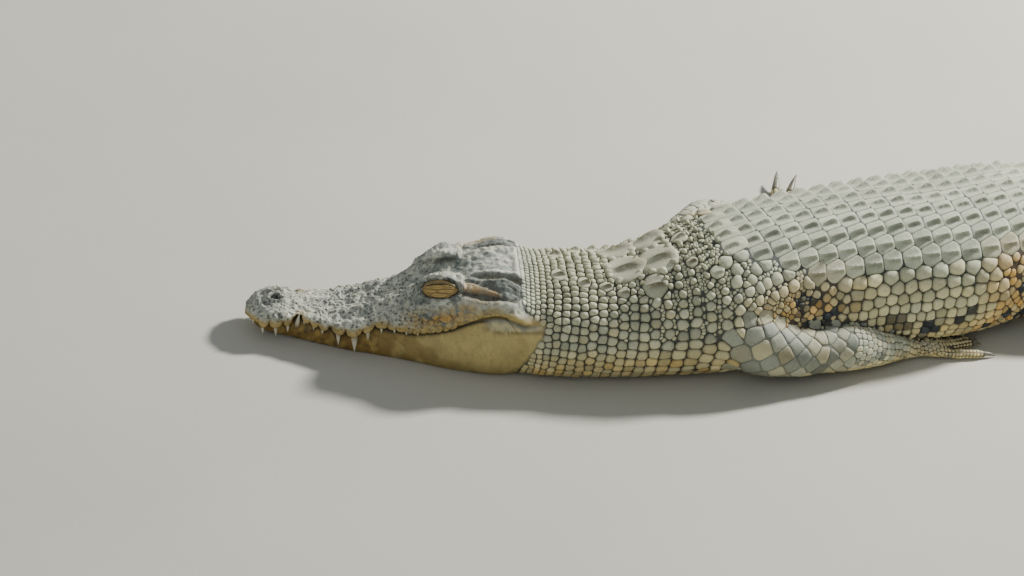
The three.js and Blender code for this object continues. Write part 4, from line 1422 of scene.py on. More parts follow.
def neck_beads(roots):
    """Rows of beads round the neck: tiny behind the skull, rounder and wider apart on the shoulders."""
    s = 273.5
    while s < 492:
        growth = ramp(300, 470, s)
        start = ramp(272, 318, s)
        girth = girth_at(s)
        down = np.linspace(0, girth, 60)
        shares = heights_at(s, down) / body_height(s)
        arcs = [roots.dice.uniform(0.2, 0.8) * 5]
        while arcs[-1] < girth:
            share = np.interp(arcs[-1], down, shares)
            arcs.append(arcs[-1] + neck_pitch(share, start, growth) + 2.4 * (share < 0.3) * start)
        arcs = np.array(arcs)
        z = heights_at(s, arcs)
        on = (s > scale_front(z)) & (z > 1) & (arcs < girth)
        arcs, z = arcs[on], z[on]
        share = z / body_height(s)
        low = fade(0.2, 0.42, share)
        pitch = neck_pitch(share, start, growth)
        apart = growth * ramp(0.3, 0.45, share)
        between = hump(s, 452, 24) * ramp(0.78, 0.9, share)
        size = (pitch + 1.8 * low * start) * (0.56 - 0.1 * apart) * (1 - 0.42 * between)
        height = mix(1.0, mix(2.8, 1.9, low), start) + 1.0 * apart
        top = ramp(0.7, 0.9, share)
        roots.body_row("neck", s, arcs, size, height, 1.3 * top * start, jitter=mix(0.5, 1.1, start),
                       gap=mix(0.5, mix(0.75, 0.6, low), start))
        s += mix(4.4, 8.8, start) + 3.2 * growth


def fill_gaps(roots, first, last):
    """Small granules in the gaps that larger scales leave, from one station to another."""
    settled = roots.settle()
    sizes = settled["size"]
    tree = tree_of(settled["point"])
    for s in np.arange(first, last, GRANULE_PITCH):
        girth = girth_at(s)
        arcs = np.arange(roots.dice.uniform(1, 4), 0.8 * girth, GRANULE_PITCH)
        y, z, _ = on_ring(np.full(len(arcs), s), arcs)
        high = z > 0.5 * body_height(s)
        arcs, y, z = arcs[high], y[high], z[high]
        for hand in (1, -1):
            free = []
            for arc, p in zip(arcs, place(np.full(len(arcs), s), hand * y, z)):
                room = min(distance - sizes[i] * (1.3 if sizes[i] > 8 else 1.05)
                           for _, i, distance in tree.find_n(p, 5))
                if room > 0.75 and roots.dice.uniform() < 0.8:
                    free.append(arc)
            roots.body_row("neck", s, free, 1.9, 1.0, 0, jitter=1.1, gap=0.4, hands=(hand,))


def flank_scales(roots):
    """Lines of rounded scales down the flanks, smaller behind the foreleg and in the groin."""
    width = roots.sizes.scute_width / MM
    for line, (below, size, pitch) in enumerate(FLANK_LINES):
        stations = np.arange(460 + (line % 2) * pitch / 2, 890, pitch)
        last = width * scutes_beside(stations)
        arcs = last - 4 + below
        _, z, girth = on_ring(stations, arcs)
        share = z / body_height(stations)
        placed = stations + swept(arcs)
        soft = 1.15 * hump(placed, 550, 50) * hump(share, 0.54, 0.18)
        soft = np.maximum(soft, ramp(755, 810, placed) * fade(0.72, 0.86, share))
        keep = (z > BELLY_TOP) & (arcs < girth)
        fine = keep & (soft > 0.45)
        plain = keep & ~fine
        keel = 1.6 * fade(10, 40, below)
        roots.body_row("flank", placed[plain], arcs[plain], size, 2.7 if size > 6 else 2.3, keel,
                       jitter=1.3, gap=0.7)
        for turn in (-1, 1):
            roots.body_row("flank", placed[fine] + 0.25 * turn * pitch, arcs[fine] + 2.6 * turn, 3.7, 1.6,
                           jitter=0.9, gap=0.7)


def belly_tiles(roots):
    """Flat tiles in rows under the trunk."""
    pitch = 2 * BELLY_SIZE
    for s in np.arange(494, 905, pitch):
        girth = girth_at(s)
        arcs = girth - (np.arange(12) + 0.5) * pitch
        z = heights_at(s, arcs)
        arcs = arcs[(z <= BELLY_TOP) & (z > 0.9)]
        roots.body_row("belly", s, arcs, BELLY_SIZE, 1.1, 0, jitter=0.3, gap=0.6)


def tail_scales(roots):
    """Two rows to each whorl of the tail, keeled above and tiled below."""
    for i in range(-1, 2 * WHORLS):
        s = HIP_END + (i + 0.5) * WHORL / 2
        girth = girth_at(s)
        count = max(int(round(girth / 11.5)), 3)
        arcs = (np.arange(count) + 0.5) * girth / count
        z = heights_at(s, arcs)
        arcs, share = arcs[z > 0.9], z[z > 0.9] / body_height(s)
        size = 0.5 * min(girth / count, WHORL / 2) + 0.7
        keel = 1.8 * ramp(0.45, 0.8, share) * fade(1100, 1300, s)
        roots.body_row("tail", s, arcs, size, mix(1.1, 1.9, ramp(0.3, 0.6, share)) * min(1, size / 5),
                       keel, jitter=0.25, gap=0.4, tilt=0.2)


def leg_scales(roots):
    """Diamonds on the upper leg, bands at the elbow, pebbles on the forearm and rows down the toes."""
    for index, (_, leg, hand, _) in enumerate(LEGS):
        limb = leg_limb(leg, hand)
        elbow, wrist = limb.at[leg["elbow"]], limb.at[leg["wrist"]]
        start = limb.at[1] * 0.4
        pitch = 15.0 if leg is not HIND else 15.5
        around = math.pi * sum(limb.sizes_at(elbow * 0.6))
        grid = np.arange(-40, 41)
        a, b = (axis.ravel() for axis in np.meshgrid(grid, grid))
        along = start + (a + b) * pitch / math.sqrt(2)
        angle = (a - b) * pitch / math.sqrt(2) / around * 2 * math.pi
        on = (along > start) & (along < elbow - 26) & (np.abs(angle) < math.pi)
        roots.leg_row("arms", index, limb, along[on], angle[on], 0.62 * pitch, 0.9, gap=0.55)
        s = elbow - 23
        row = 0
        while s < limb.length - 3:
            girth = math.pi * sum(limb.sizes_at(s))
            banded = s < elbow + 8
            step = 8.0 if banded else (6.4 if s < wrist else 4.6)
            pitch = 19.0 if banded else step * 1.05
            count = max(int(girth / pitch), 6)
            angle = ((np.arange(count) + 0.5 * (row % 2)) / count - 0.5) * 2 * math.pi
            angle = angle + roots.dice.uniform(-0.5, 0.5, count) * pitch * 0.25 / max(girth, 1) * 2 * math.pi
            if banded:
                roots.leg_row("arms", index, limb, np.full(count, s), angle, 7.6, 1.0, gap=0.5, tilt=0.7)
            else:
                away = s + roots.dice.uniform(-0.9, 0.9, count)
                height = 1.2 if s < wrist else 0.9
                roots.leg_row("legs", index, limb, away, angle, 0.56 * pitch, height, gap=0.35)
            s += step
            row += 1
        for number, digit in enumerate(leg["digits"]):
            toe = digit_limb(digit, hand)
            for row, s in enumerate(np.arange(toe.length * 0.26, toe.length - 1.5, 3.9)):
                angle = np.radians(np.array([0, 62, -62, 112, -112, 158, -158]))
                size = toe.sizes_at(s)[0] * np.array([0.66, 0.48, 0.48, 0.42, 0.42, 0.4, 0.4])
                roots.leg_row("toes", index, toe, np.full(7, s), angle, size, 0.55,
                              gap=0.55, band=number + 1)


def plant_roots(sizes):
    """All the roots of scales, laid on the skin, with their neighbours."""
    roots = Roots(sizes)
    scute_rows(roots)
    nape_plates(roots)
    neck_beads(roots)
    flank_scales(roots)
    belly_tiles(roots)
    tail_scales(roots)
    leg_scales(roots)
    fill_gaps(roots, 350, 550)
    fill_gaps(roots, 835, 930)
    settled = roots.settle()
    workshop["roots"] = settled
    workshop["near"] = neighbours_of(settled["point"])


# ---- Crest of the tail
CREST_JOINS = 1400
CREST_JOINING = 120
crest_height = profile((905, 5), (1050, 9), (1250, 14), (1400, 21), (1600, 22), (1800, 15), (1935, 7))
fin_thickness = profile((1000, 5), (1900, 3))
FIN_COLUMNS = 8
FIN_LEVELS = 5
FIN_SINK = 4


def back_height(s, y):
    """The height of the upper surface at stations, at distances from the midline."""
    ys, zs = section(s, RING_TABLE)
    upper = RING_TABLE < 0.44
    return np.array([np.interp(abs(a), row[upper], up[upper]) for a, row, up in zip(y, ys, zs)])


def fin_points(s, y):
    """A thin upright fin that leans to the tail's tip: rows from its root to its edge, on both faces."""
    u = np.linspace(-1, 1, FIN_COLUMNS)
    level = np.linspace(0, 1, FIN_LEVELS)[:, None]
    height = crest_height(np.array([s]))[0]
    thick = fin_thickness(np.array([s]))[0] / 2
    outline = height * (0.12 + 0.88 * ramp(-1.05, 0.55, u)) * (1 - 0.3 * ramp(0.72, 1.0, u))
    stations = s + u * (WHORL / 2 - 0.3) + level * (0.16 * height) * (1 - np.abs(u))
    base = back_height(s + u * WHORL / 2, np.full(FIN_COLUMNS, y))
    up = base - FIN_SINK + level * (outline + FIN_SINK)
    body = thick * (1 - 0.82 * level**1.4) * (0.35 + 0.65 * np.sqrt(clamp(1 - u**2)))
    return np.stack([place(stations, y + side * body, up) for side in (1, -1)])


def crest_places():
    """Station and distance from the midline of each fin."""
    for i in range(WHORLS):
        s = HIP_END + (i + 0.5) * WHORL
        apart = 0.42 * body_width(s) * fade(CREST_JOINS - CREST_JOINING, CREST_JOINS, s)
        for y in ((apart, -apart) if apart > fin_thickness(s) / 2 else (0.0,)):
            yield s, float(y)


# ---- Finishes
class Value:
    """A shader socket that arithmetic works on."""

    def __init__(self, net, socket):
        self.net = net
        self.socket = socket

    def __add__(self, other):
        return self.net.maths("ADD", self, other)

    def __radd__(self, other):
        return self.net.maths("ADD", other, self)

    def __sub__(self, other):
        return self.net.maths("SUBTRACT", self, other)

    def __rsub__(self, other):
        return self.net.maths("SUBTRACT", other, self)

    def __mul__(self, other):
        return self.net.maths("MULTIPLY", self, other)

    def __rmul__(self, other):
        return self.net.maths("MULTIPLY", other, self)


class Net:
    """The nodes of one material."""

    def __init__(self, name):
        self.material = bpy.data.materials.new(name)
        self.material.use_nodes = True
        self.tree = self.material.node_tree
        self.tree.nodes.clear()

    def node(self, kind, inputs, **settings):
        """A node: its settings are made first, then its inputs, numbers or Values by name or index."""
        made = self.tree.nodes.new(f"ShaderNode{kind}")
        for key, value in settings.items():
            setattr(made, key, value)
        for key, value in inputs.items():
            if isinstance(value, Value):
                self.tree.links.new(value.socket, made.inputs[key])
            else:
                made.inputs[key].default_value = value
        return made

    def out(self, made, key=0):
        return Value(self, made.outputs[key])

    def maths(self, operation, a, b):
        return self.out(self.node("Math", {0: a, 1: b}, operation=operation))

    def between(self, value, low, high, to_low=0.0, to_high=1.0):
        """The value read as a smooth step between two levels."""
        return self.out(self.node("MapRange", {
            "Value": value, "From Min": low, "From Max": high, "To Min": to_low, "To Max": to_high,
        }, interpolation_type="SMOOTHSTEP"))

    def colour(self, factor, a, b):
        """Mixes a colour, a Value or plain red, green and blue, with a plain one."""
        a = a if isinstance(a, Value) else (*a, 1)
        return self.out(self.node("Mix", {0: factor, 6: a, 7: (*b, 1)}, data_type="RGBA"), 2)

    def attribute(self, name):
        return self.out(self.node("Attribute", {}, attribute_name=name))

    def parts(self, colour):
        made = self.node("SeparateColor", {0: colour})
        return [self.out(made, i) for i in range(3)]

    def place(self):
        return self.out(self.node("TexCoord", {}), "Object")

    def noise(self, scale, detail, rough):
        return self.out(self.node("TexNoise", {
            "Vector": self.place(), "Scale": scale, "Detail": detail, "Roughness": rough,
        }))

    def cells(self, scale, feature, where):
        made = self.node("TexVoronoi", {"Vector": where, "Scale": scale}, feature=feature)
        return self.out(made, "Distance")

    def bump(self, height, distance, strength, **more):
        inputs = {"Height": height, "Distance": distance, "Strength": strength, **more}
        return self.out(self.node("Bump", inputs))

    def upward(self):
        """How far the surface faces up, from -1 to 1."""
        normal = self.out(self.node("NewGeometry", {}), "Normal")
        return self.out(self.node("SeparateXYZ", {0: normal}), 2)

    def finish(self, colour, rough, normal, specular):
        shader = self.node("BsdfPrincipled", {
            "Base Color": colour, "Roughness": rough, "Specular IOR Level": specular, "Normal": normal,
        })
        self.node("OutputMaterial", {0: self.out(shader)})
        return self.material


def hide_material(colours):
    """Dusty hide: the marked colour with dust on top, painted shade in the pits on bone, speckles and fine
    creases.
    """
    net = Net("crocodile_hide")
    tint = net.attribute("tint")
    pitted, speckled, dusty = net.parts(net.attribute("finish"))
    cloud = net.noise(55, 4, 0.6)
    grain = net.noise(620, 3, 0.6)
    fleck = net.noise(340, 2, 0.5)
    swirl = net.out(net.node("TexNoise", {"Vector": net.place(), "Scale": 160}), 1)
    warp = {0: swirl, 1: (0.004, 0.004, 0.004), 2: net.place()}
    warped = net.out(net.node("VectorMath", warp, operation="MULTIPLY_ADD"))
    pits = net.cells(260, "F1", warped)
    cracks = net.cells(240, "DISTANCE_TO_EDGE", warped)
    dust = net.between(net.upward() * 0.55 + cloud * 0.9, 0.55, 1.1) * dusty * 0.42
    stain = net.between(net.noise(210, 4, 0.65), 0.5, 0.66) * net.between(pitted + 0.35, 0.3, 0.6)
    colour = net.colour(stain * 0.28, tint, colours.slate)
    colour = net.colour(dust, colour, colours.dust)
    # The middles of the pits, which the bump sinks, are painted dark as painted shade.
    colour = net.colour(net.between(pits, 0.2, 0.4, 1, 0) * pitted * 0.8, colour, colours.pit)
    colour = net.colour(net.between(cracks, 0.02, 0.12, 1, 0) * pitted * 0.35, colour, colours.crust)
    colour = net.colour(net.between(fleck, 0.6, 0.72) * speckled * 0.55, colour, colours.pit)
    value = net.between(grain * 0.6 + cloud * 0.5, 0.3, 0.8, 0.84, 1.12)
    toned = net.out(net.node("VectorMath", {0: colour, "Scale": value}, operation="SCALE"))
    creases = net.noise(900, 2, 0.6)
    bone = (net.between(pits, 0.1, 0.5) - net.between(cracks, 0.0, 0.08, 0.35, 0)) * pitted
    fine = net.bump(grain * 0.6 + creases * 0.4, 0.0007, 0.5)
    normal = net.bump(bone, 0.0014, 0.8, Normal=fine)
    rough = 0.62 + dusty * 0.16 + (grain - 0.5) * 0.12
    return net.finish(toned, rough, normal, 0.35)


# Noise of the grain and of the patches (scale, detail, roughness), the colours laid in the patches and in
# the grain (each with its levels and strength), depth and strength of the bump, roughness and its spread,
# and the gloss.
SMOOTH_FINISHES = {
    "eyelid": ((700, 3, 0.6), (160, 3, 0.6), ("pit", 0.45, 0.75, 0.35), ("dust", 0.55, 0.8, 0.25),
               (0.0005, 0.5), (0.5, 0.2), 0.45),
    "tooth": ((480, 3, 0.6), (120, 3, 0.6), ("tooth_root", 0.45, 0.75, 0.4), ("pit", 0.6, 0.8, 0.3),
              (0.0003, 0.4), (0.32, 0.15), 0.5),
    "claw": ((520, 4, 0.6), (110, 3, 0.6), ("dust", 0.4, 0.75, 0.5), ("black", 0.55, 0.8, 0.4),
             (0.0004, 0.5), (0.42, 0.2), 0.5),
}


def smooth_material(colours, kind):
    """The marked colour of lids, teeth or claws, stained in patches, with a fine grain."""
    grain, patches, patched, grained, bump, (rough, spread), specular = SMOOTH_FINISHES[kind]
    net = Net(f"crocodile_{kind}")
    tint = net.attribute("tint")
    grain = net.noise(*grain)
    patches = net.noise(*patches)
    for source, (colour, low, high, strength) in ((patches, patched), (grain, grained)):
        tint = net.colour(net.between(source, low, high) * strength, tint, getattr(colours, colour))
    return net.finish(tint, rough + (patches - 0.5) * spread, net.bump(grain, *bump), specular)


def floor_material(colours):
    net = Net("pale_floor")
    cloud = net.noise(3, 3, 0.5)
    grain = net.noise(260, 3, 0.6)
    value = net.between(cloud * 0.7 + grain * 0.3, 0.3, 0.7)
    colour = net.colour(value, 0.93 * colours.floor, colours.floor)
    return net.finish(colour, 0.85, net.bump(grain, 0.0004, 0.3), 0.25)


def finish_of(kind, colours):
    """The material of a kind of finish, made once."""
    if kind not in workshop:
        if kind in SMOOTH_FINISHES:
            workshop[kind] = smooth_material(colours, kind)
        else:
            workshop[kind] = hide_material(colours) if kind == "hide" else floor_material(colours)
    return workshop[kind]


def hand_in(obj, slot, colours, replaced=()):
    """Gives a finished piece its material, its body and what it stands for."""
    obj.data.materials.clear()
    obj.data.materials.append(finish_of(slot, colours))
    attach(obj, BODY)
    if replaced:
        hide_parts(*replaced)
    deselect_all()


# ---- Eyes, teeth and claws
LID_SLIT = 0.45  # height of the slit between the lids, on the scale of eye_place
LID_BULGE = 4.2
LID_FOLDS = ((0.26, 0.03, 0.7), (0.1, 0.025, 0.5), (-0.08, 0.05, 1.0), (-0.3, 0.03, 0.6), (-0.5, 0.055, 1.0),
             (-0.68, 0.03, 0.6), (-0.84, 0.05, 0.9))
LID_RINGS = 30
LID_SIDES = 96


def lid_points(hand):
    """Rings of the shut lids about their middle, how much painted shade darkens each point, and which lid
    each point is.
    """
    share = np.concatenate([np.linspace(0.03, 1, LID_RINGS), [1.04]])[:, None]
    angle = np.linspace(0, 2 * math.pi, LID_SIDES, endpoint=False)[None, :]
    u = share * np.cos(angle)
    w = share * np.sin(angle)
    narrow = clamp(1 - u**2) ** 0.22
    level = w / np.maximum(np.sqrt(np.clip(1 - u**2, 1e-4, 1)), 0.15)
    out = LID_BULGE * np.sqrt(clamp(1.02 - share**2)) - 0.9
    slit = hump(level, LID_SLIT - 0.1 * u**2, 0.075) * (np.abs(u) < 0.97)
    lower = fade(LID_SLIT - 0.06, LID_SLIT + 0.02, level)
    folds = 0 * level
    for middle, width, depth in LID_FOLDS:
        wander = 0.05 * np.sin(5.3 * u + 9 * middle) + 0.03 * np.sin(13 * u + 5 * middle)
        folds = folds + depth * hump(level, middle + wander, width) * fade(0.75, 0.98, np.abs(u))
    inside = clamp(1 - share**4)
    upper_folds = np.sin(level * 26 + u * 3)
    pouch = 0.5 * hump(level, LID_SLIT - 0.13, 0.07) - 0.75 * folds
    out = out + inside * (pouch * lower - 1.2 * slit + (1 - lower) * 0.35 * upper_folds)
    out = np.where(share > 1.02, -5.0, out) + EYE_BOW * (1 - clamp(u**2))
    front = (u + 1) / 2
    y, z = (mix(EYE_FRONT[k], EYE_REAR[k], front) + EYE_UP[k] * EYE_HEIGHT * w * narrow + EYE_OUT[k] * out
            for k in (0, 1))
    rings = place(EYE_STATION + EYE_LENGTH * u, hand * y, z)
    corner = 0.9 * fade(-0.97, -0.7, u)
    # The slit, the creases, the rim, the front corner and the troughs of the upper lid's folds are painted
    # dark: painted shade where the lids sink.
    dark = slit + 0.85 * folds * lower + 0.9 * ramp(0.85, 0.97, share) + corner
    dark = dark + (1 - lower) * 0.4 * ramp(0.2, 0.9, -upper_folds)
    return rings, clamp(dark), lower


def lid_object(name, hand, colours):
    rings, dark, lower = lid_points(hand)
    obj = tube_object(name, rings)
    tint = mix(colours.lid_upper, colours.lid, lower[..., None])
    tint = mix(tint, colours.lid_dark, dark[..., None])
    tint = np.concatenate([tint.reshape(-1, 3), tint[0].mean(0)[None], colours.mouth[None]])
    paint(obj, tint)
    shade_smooth(obj)
    return obj


def spike_form(sides):
    """A unit cone cut into levels, as points and its faces by size."""
    deselect_all()
    bpy.ops.mesh.primitive_cone_add(vertices=sides, radius1=1, radius2=0.08, depth=1, location=(0, 0, 0.5))
    obj = bpy.context.view_layer.objects.active
    bpy.ops.object.transform_apply(location=True)
    bpy.ops.object.mode_set(mode="EDIT")
    for level in (0.16, 0.34, 0.52, 0.7, 0.86):
        bpy.ops.mesh.select_all(action="SELECT")
        bpy.ops.mesh.bisect(plane_co=(0, 0, level), plane_no=(0, 0, 1))
    bpy.ops.object.mode_set(mode="OBJECT")
    points = np.array([v.co for v in obj.data.vertices])
    faces = [np.array(p.vertices) for p in obj.data.polygons]
    bpy.data.objects.remove(obj)
    return points, faces


def spikes_object(name, sides, spikes):
    """Curved spikes in one mesh; each is (root, tip, radius, bow upwards, bulge)."""
    points, faces = spike_form(sides)
    level = points[:, 2]
    placed = []
    for root, tip, radius, bow, fullness in spikes:
        axis = tip - root
        across = unit(np.cross(axis, [0.0, 0.0, 1.0]) + np.array([1e-6, 0, 0]))
        up = np.cross(across, unit(axis))
        swell = 1 + fullness * 4 * level * (1 - level) / np.maximum(1 - 0.92 * level, 0.3)
        spot = root + axis * level[:, None]
        spot = spot + across * (points[:, 0] * radius * swell)[:, None]
        spot = spot + up * (points[:, 1] * radius * swell + bow * 4 * level * (1 - level))[:, None]
        placed.append(spot)
    blocks = {}
    for i in range(len(spikes)):
        for face in faces:
            blocks.setdefault(len(face), []).append(face + i * len(points))
    obj = new_object(name, np.concatenate(placed), [np.array(block) for block in blocks.values()])
    turn_outward(obj)
    shade_smooth(obj)
    return obj, np.tile(level, len(spikes))


def upper_tooth(s, length, radius, hand):
    s = np.array([float(s)])
    lip = lip_height(s)[0] - lip_scallop(s)[0]
    out = lip_width(s)[0]
    root = place(s, hand * (out - 0.75 * radius), lip + 3)[0]
    tip = place(s + 0.12 * length, hand * (out - 0.3), max(lip - length + 1.5, jaw_bottom(s)[0] + 2))[0]
    return root, tip, radius, 0.0, 0.12


def notch_tooth(hand):
    s = np.array([float(NOTCH_STATION) + 0.5])
    root = place(s, hand * (jaw_width(s)[0] + 0.6), lip_height(s)[0] - 12)[0]
    tip = place(s + 1, hand * (lip_width(s)[0] + 2.0), lip_height(s)[0] + 5)[0]
    return root, tip, 2.9, 0.0, 0.15


CLAW_STANDOFF = -2.0  # the claw's root starts inside the toe's tip
CLAW_WIDTH = 0.52
RAISED_CLAWS = (690, 800)  # the right hand's claws with tips between these stations point upwards


def claw_spike(digit, hand):
    root, tip, radius, claw = digit
    to = place(tip[0], hand * tip[1], tip[2])
    ahead = to - place(root[0], hand * root[1], root[2])
    ahead = unit(ahead * np.array([1, 1, 0]))
    raised = hand < 0 and RAISED_CLAWS[0] < tip[0] < RAISED_CLAWS[1]
    end = to + ahead * (0.9 + claw * (1.35 if raised else 1.0))
    end[2] = to[2] + 0.55 * claw if raised else max(to[2] - claw / 3, 1.2)
    if raised:
        return to - ahead * 9, end, radius * 0.95, 1.8, 0.1
    return to + ahead * CLAW_STANDOFF, end, radius * CLAW_WIDTH, 1.8, 0.1


# ---- Sizes and colours a user may change
def number(name, description, default, low, high, **kind):
    return bpy.props.FloatProperty(
        name=name, description=description, default=default, min=low, max=high, **kind)


class CrocodileSizes(bpy.types.PropertyGroup):
    coat_depth: number(
        "Coat depth", "How far the skin lies under the scales' tops", 0.0016, 0.0005, 0.004, unit="LENGTH")
    scute_width: number(
        "Scute width", "Width of a keeled scute of the back", 0.0178, 0.01, 0.03, unit="LENGTH")
    keel_height: number(
        "Keel height", "Height of the keel of a scute of the back", 0.0052, 0.001, 0.008, unit="LENGTH")
    pitting: number(
        "Pitting", "Strength of the pits and lumps of the bony head", 0.8, 0, 2, subtype="FACTOR")


COLOURS = (
    ("back", "b3b9a2", "Dusty scutes of the back"),
    ("flank", "bebb95", "Rounded scales of the flanks"),
    ("low_flank", "c4ae74", "Tan scales low on the flanks"),
    ("belly", "c2ae7e", "Belly tiles"),
    ("yellow", "c9973f", "Yellow marks behind the foreleg and in the groin"),
    ("black", "25282c", "Black blotches and tail bars"),
    ("neck", "b5b596", "Beads of the neck"),
    ("ochre_neck", "bd9f5c", "Tiles low on the neck"),
    ("leg", "a8aa95", "Upper sides of the legs"),
    ("head", "abaea2", "Bony skin of the head"),
    ("crust", "d6d6c2", "Raised pale edges on the head"),
    ("slate", "566468", "Bluish grey patches of the head"),
    ("lips", "b39a58", "Ochre lips and cheek"),
    ("orange", "b98a3c", "Wedge of skin behind the eye"),
    ("jaw", "b5a46c", "Smooth skin of the lower jaw"),
    ("jaw_front", "7f6530", "Lower jaw near the snout"),
    ("mouth", "15120e", "Mouth line and nostrils"),
    ("pit", "2f3536", "Dark pits and speckles"),
    ("dust", "c4c5b2", "Dust on what faces up"),
    ("lid", "b99a58", "Amber lower eyelid"),
    ("lid_upper", "9c8858", "Upper eyelid"),
    ("lid_dark", "2c2213", "Slit and creases of the lids"),
    ("tooth", "d8d2bd", "Tips of the teeth"),
    ("tooth_root", "9a8c66", "Stained roots of the teeth"),
    ("claw", "6f6a5a", "Horn of the claws"),
    ("floor", "c5c4b7", "Plain pale floor"),
)


class CrocodileColours(bpy.types.PropertyGroup):
    __annotations__ = {
        key: bpy.props.FloatVectorProperty(
            name=key.replace("_", " ").capitalize(), description=description, subtype="COLOR", size=3,
            min=0, max=1, default=srgb(code))
        for key, code, description in COLOURS
    }


class CrocodileStage(bpy.types.PropertyGroup):
    rise: number(
        "Camera rise", "How steeply the camera looks down", math.radians(32), 0, math.radians(80),
        subtype="ANGLE")
    roll: number(
        "Camera roll", "How far the camera turns about its own axis", math.radians(-8.5), -math.pi, math.pi,
        subtype="ANGLE")
    distance: number(
        "Camera distance", "Distance from the camera to the head", 5.61, 1, 20, unit="LENGTH")
    lens: number(
        "Lens", "Focal length for a 36 mm wide sensor, in millimetres", 193.36, 10, 500)
    key_power: number("Key light", "Power of the main light", 390, 0, 2000, unit="POWER")
    fill_power: number("Fill light", "Power of the light beside the camera", 22, 0, 2000, unit="POWER")
    sky: number("Sky", "Strength of the even light all round", 0.31, 0, 5)


def plain(group):
    """A property group as plain numbers and arrays."""
    values = {key: getattr(group, key) for key in group.__annotations__}
    return SimpleNamespace(**{key: value if isinstance(value, float) else np.array(value)
                              for key, value in values.items()})


def settings(context):
    scene = context.scene
    return plain(scene.crocodile_sizes), plain(scene.crocodile_colours)


# ---- Operators
FLESH = ["head", "lower_jaw", "neck", "chest", "belly", "hips", "tail_base", "tail_middle", "tail_rear",
         "tail_tip", "ear_left", "ear_right"]
FLESH += [f"{leg[0]}_{part}" for leg in LEGS for part in ("upper", "lower")]
FLESH += [leg[3] for leg in LEGS]


class CROCODILE_OT_skin(bpy.types.Operator):
    """Builds the one skin of head, body, tail and legs"""

    bl_idname = "crocodile.skin"
    bl_label = "Skin"

    def execute(self, context):
        sizes, colours = settings(context)
        skin = body_tube(sizes)
        for name, leg, hand, _ in LEGS:
            unite(skin, leg_object(name, leg, hand, sizes))
        soften_joins(skin)
        shade_smooth(skin)
        paint_skin(skin, keep_surface(skin), colours)
        hand_in(skin, "hide", colours, FLESH)
        return {"FINISHED"}


def paint_skin(obj, points, colours):
    s, y, z = locate(points)
    tint = markings(points, colours)
    scaled = ramp(-4, -1, s - scale_front(z))
    # The skin that shows in the gaps between the scales is painted dark as painted shade, a little less on
    # the legs.
    tint = tinted(tint, PAINTED_SHADE_COLOUR, (0.88 - 0.3 * leg_share(s, y, z)) * scaled)
    above = z - lip_height(s)
    on_head = fade(270, 292, s)
    snout = fade(165, 205, s)
    finish = np.zeros((len(points), 3))
    finish[:, 0] = on_head * ramp(2, 8, above) * np.maximum(snout, 0.22)
    finish[:, 1] = np.maximum(on_head * mix(0.3, 0.75, ramp(-2, 2, above)), 0.3)
    finish[:, 2] = 0.7 * (1 - scaled) * ramp(-1, 4, above)
    paint(obj, tint, finish)


class CROCODILE_OT_scutes(bpy.types.Operator):
    """Builds the keeled scutes of the back and the plates of the nape"""

    bl_idname = "crocodile.scutes"
    bl_label = "Scutes"

    def execute(self, context):
        sizes, colours = settings(context)
        plant_roots(sizes)
        coat(colours, "scutes", 28, SCUTE_RINGS)
        return {"FINISHED"}


# The smaller scales: group, corners round a scale and its form.
SMALL_SCALES = (
    ("neck", 13, BEAD_RINGS), ("flank", 14, BEAD_RINGS), ("belly", 14, BEAD_RINGS), ("tail", 16, BEAD_RINGS),
    ("legs", 12, TILE_RINGS), ("toes", 8, BEAD_RINGS), ("arms", 28, TILE_RINGS),
)


class CROCODILE_OT_scales(bpy.types.Operator):
    """Builds the smaller scales of neck, flanks, belly, tail, legs and toes"""

    bl_idname = "crocodile.scales"
    bl_label = "Scales"

    def execute(self, context):
        _, colours = settings(context)
        for group, directions, rings in SMALL_SCALES:
            coat(colours, group, directions, rings)
        return {"FINISHED"}


def coat(colours, group, directions, rings):
    """One coat piece from the roots of a group."""
    roots = workshop["roots"]
    chosen = np.nonzero(roots["group"] == group)[0]
    obj = grow_scales(f"scales_{group}", roots, chosen, directions, rings, colours)
    hand_in(obj, "hide", colours)


class CROCODILE_OT_crest(bpy.types.Operator):
    """Builds the double and single rows of fins along the tail"""

    bl_idname = "crocodile.crest"
    bl_label = "Tail crest"

    def execute(self, context):
        _, colours = settings(context)
        places = list(crest_places())
        fins = np.stack([fin_points(s, y).reshape(-1, 3) for s, y in places])
        each = fins.shape[1]
        faces = slab_faces(FIN_LEVELS, FIN_COLUMNS) + np.arange(len(places))[:, None, None] * each
        points = fins.reshape(-1, 3)
        obj = new_object("tail_crest", points, [faces.reshape(-1, 4)])
        turn_outward(obj)
        shade_smooth(obj)
        tint = markings(points, colours)
        level = np.tile(np.repeat(np.linspace(0, 1, FIN_LEVELS), FIN_COLUMNS), 2 * len(places))
        # The fins are painted darker towards their roots: painted shade where they meet the back.
        tint = tint * (0.72 + 0.28 * level)[:, None]
        finish = np.zeros_like(tint)
        finish[:, 1:] = 0.35
        paint(obj, tint, finish)
        column = np.tile(np.linspace(-1, 1, FIN_COLUMNS), FIN_LEVELS * 2 * len(places))
        roots = np.array([[s / UNWRAP_LENGTH, UNWRAP_CROWN + UNWRAP_HALF * 0.004 * y] for s, y in places])
        bake_map(obj, roots.repeat(each, axis=0) + OFBAKE_PATCH * np.stack([column, 2 * level - 1], -1))
        hand_in(obj, "hide", colours)
        return {"FINISHED"}


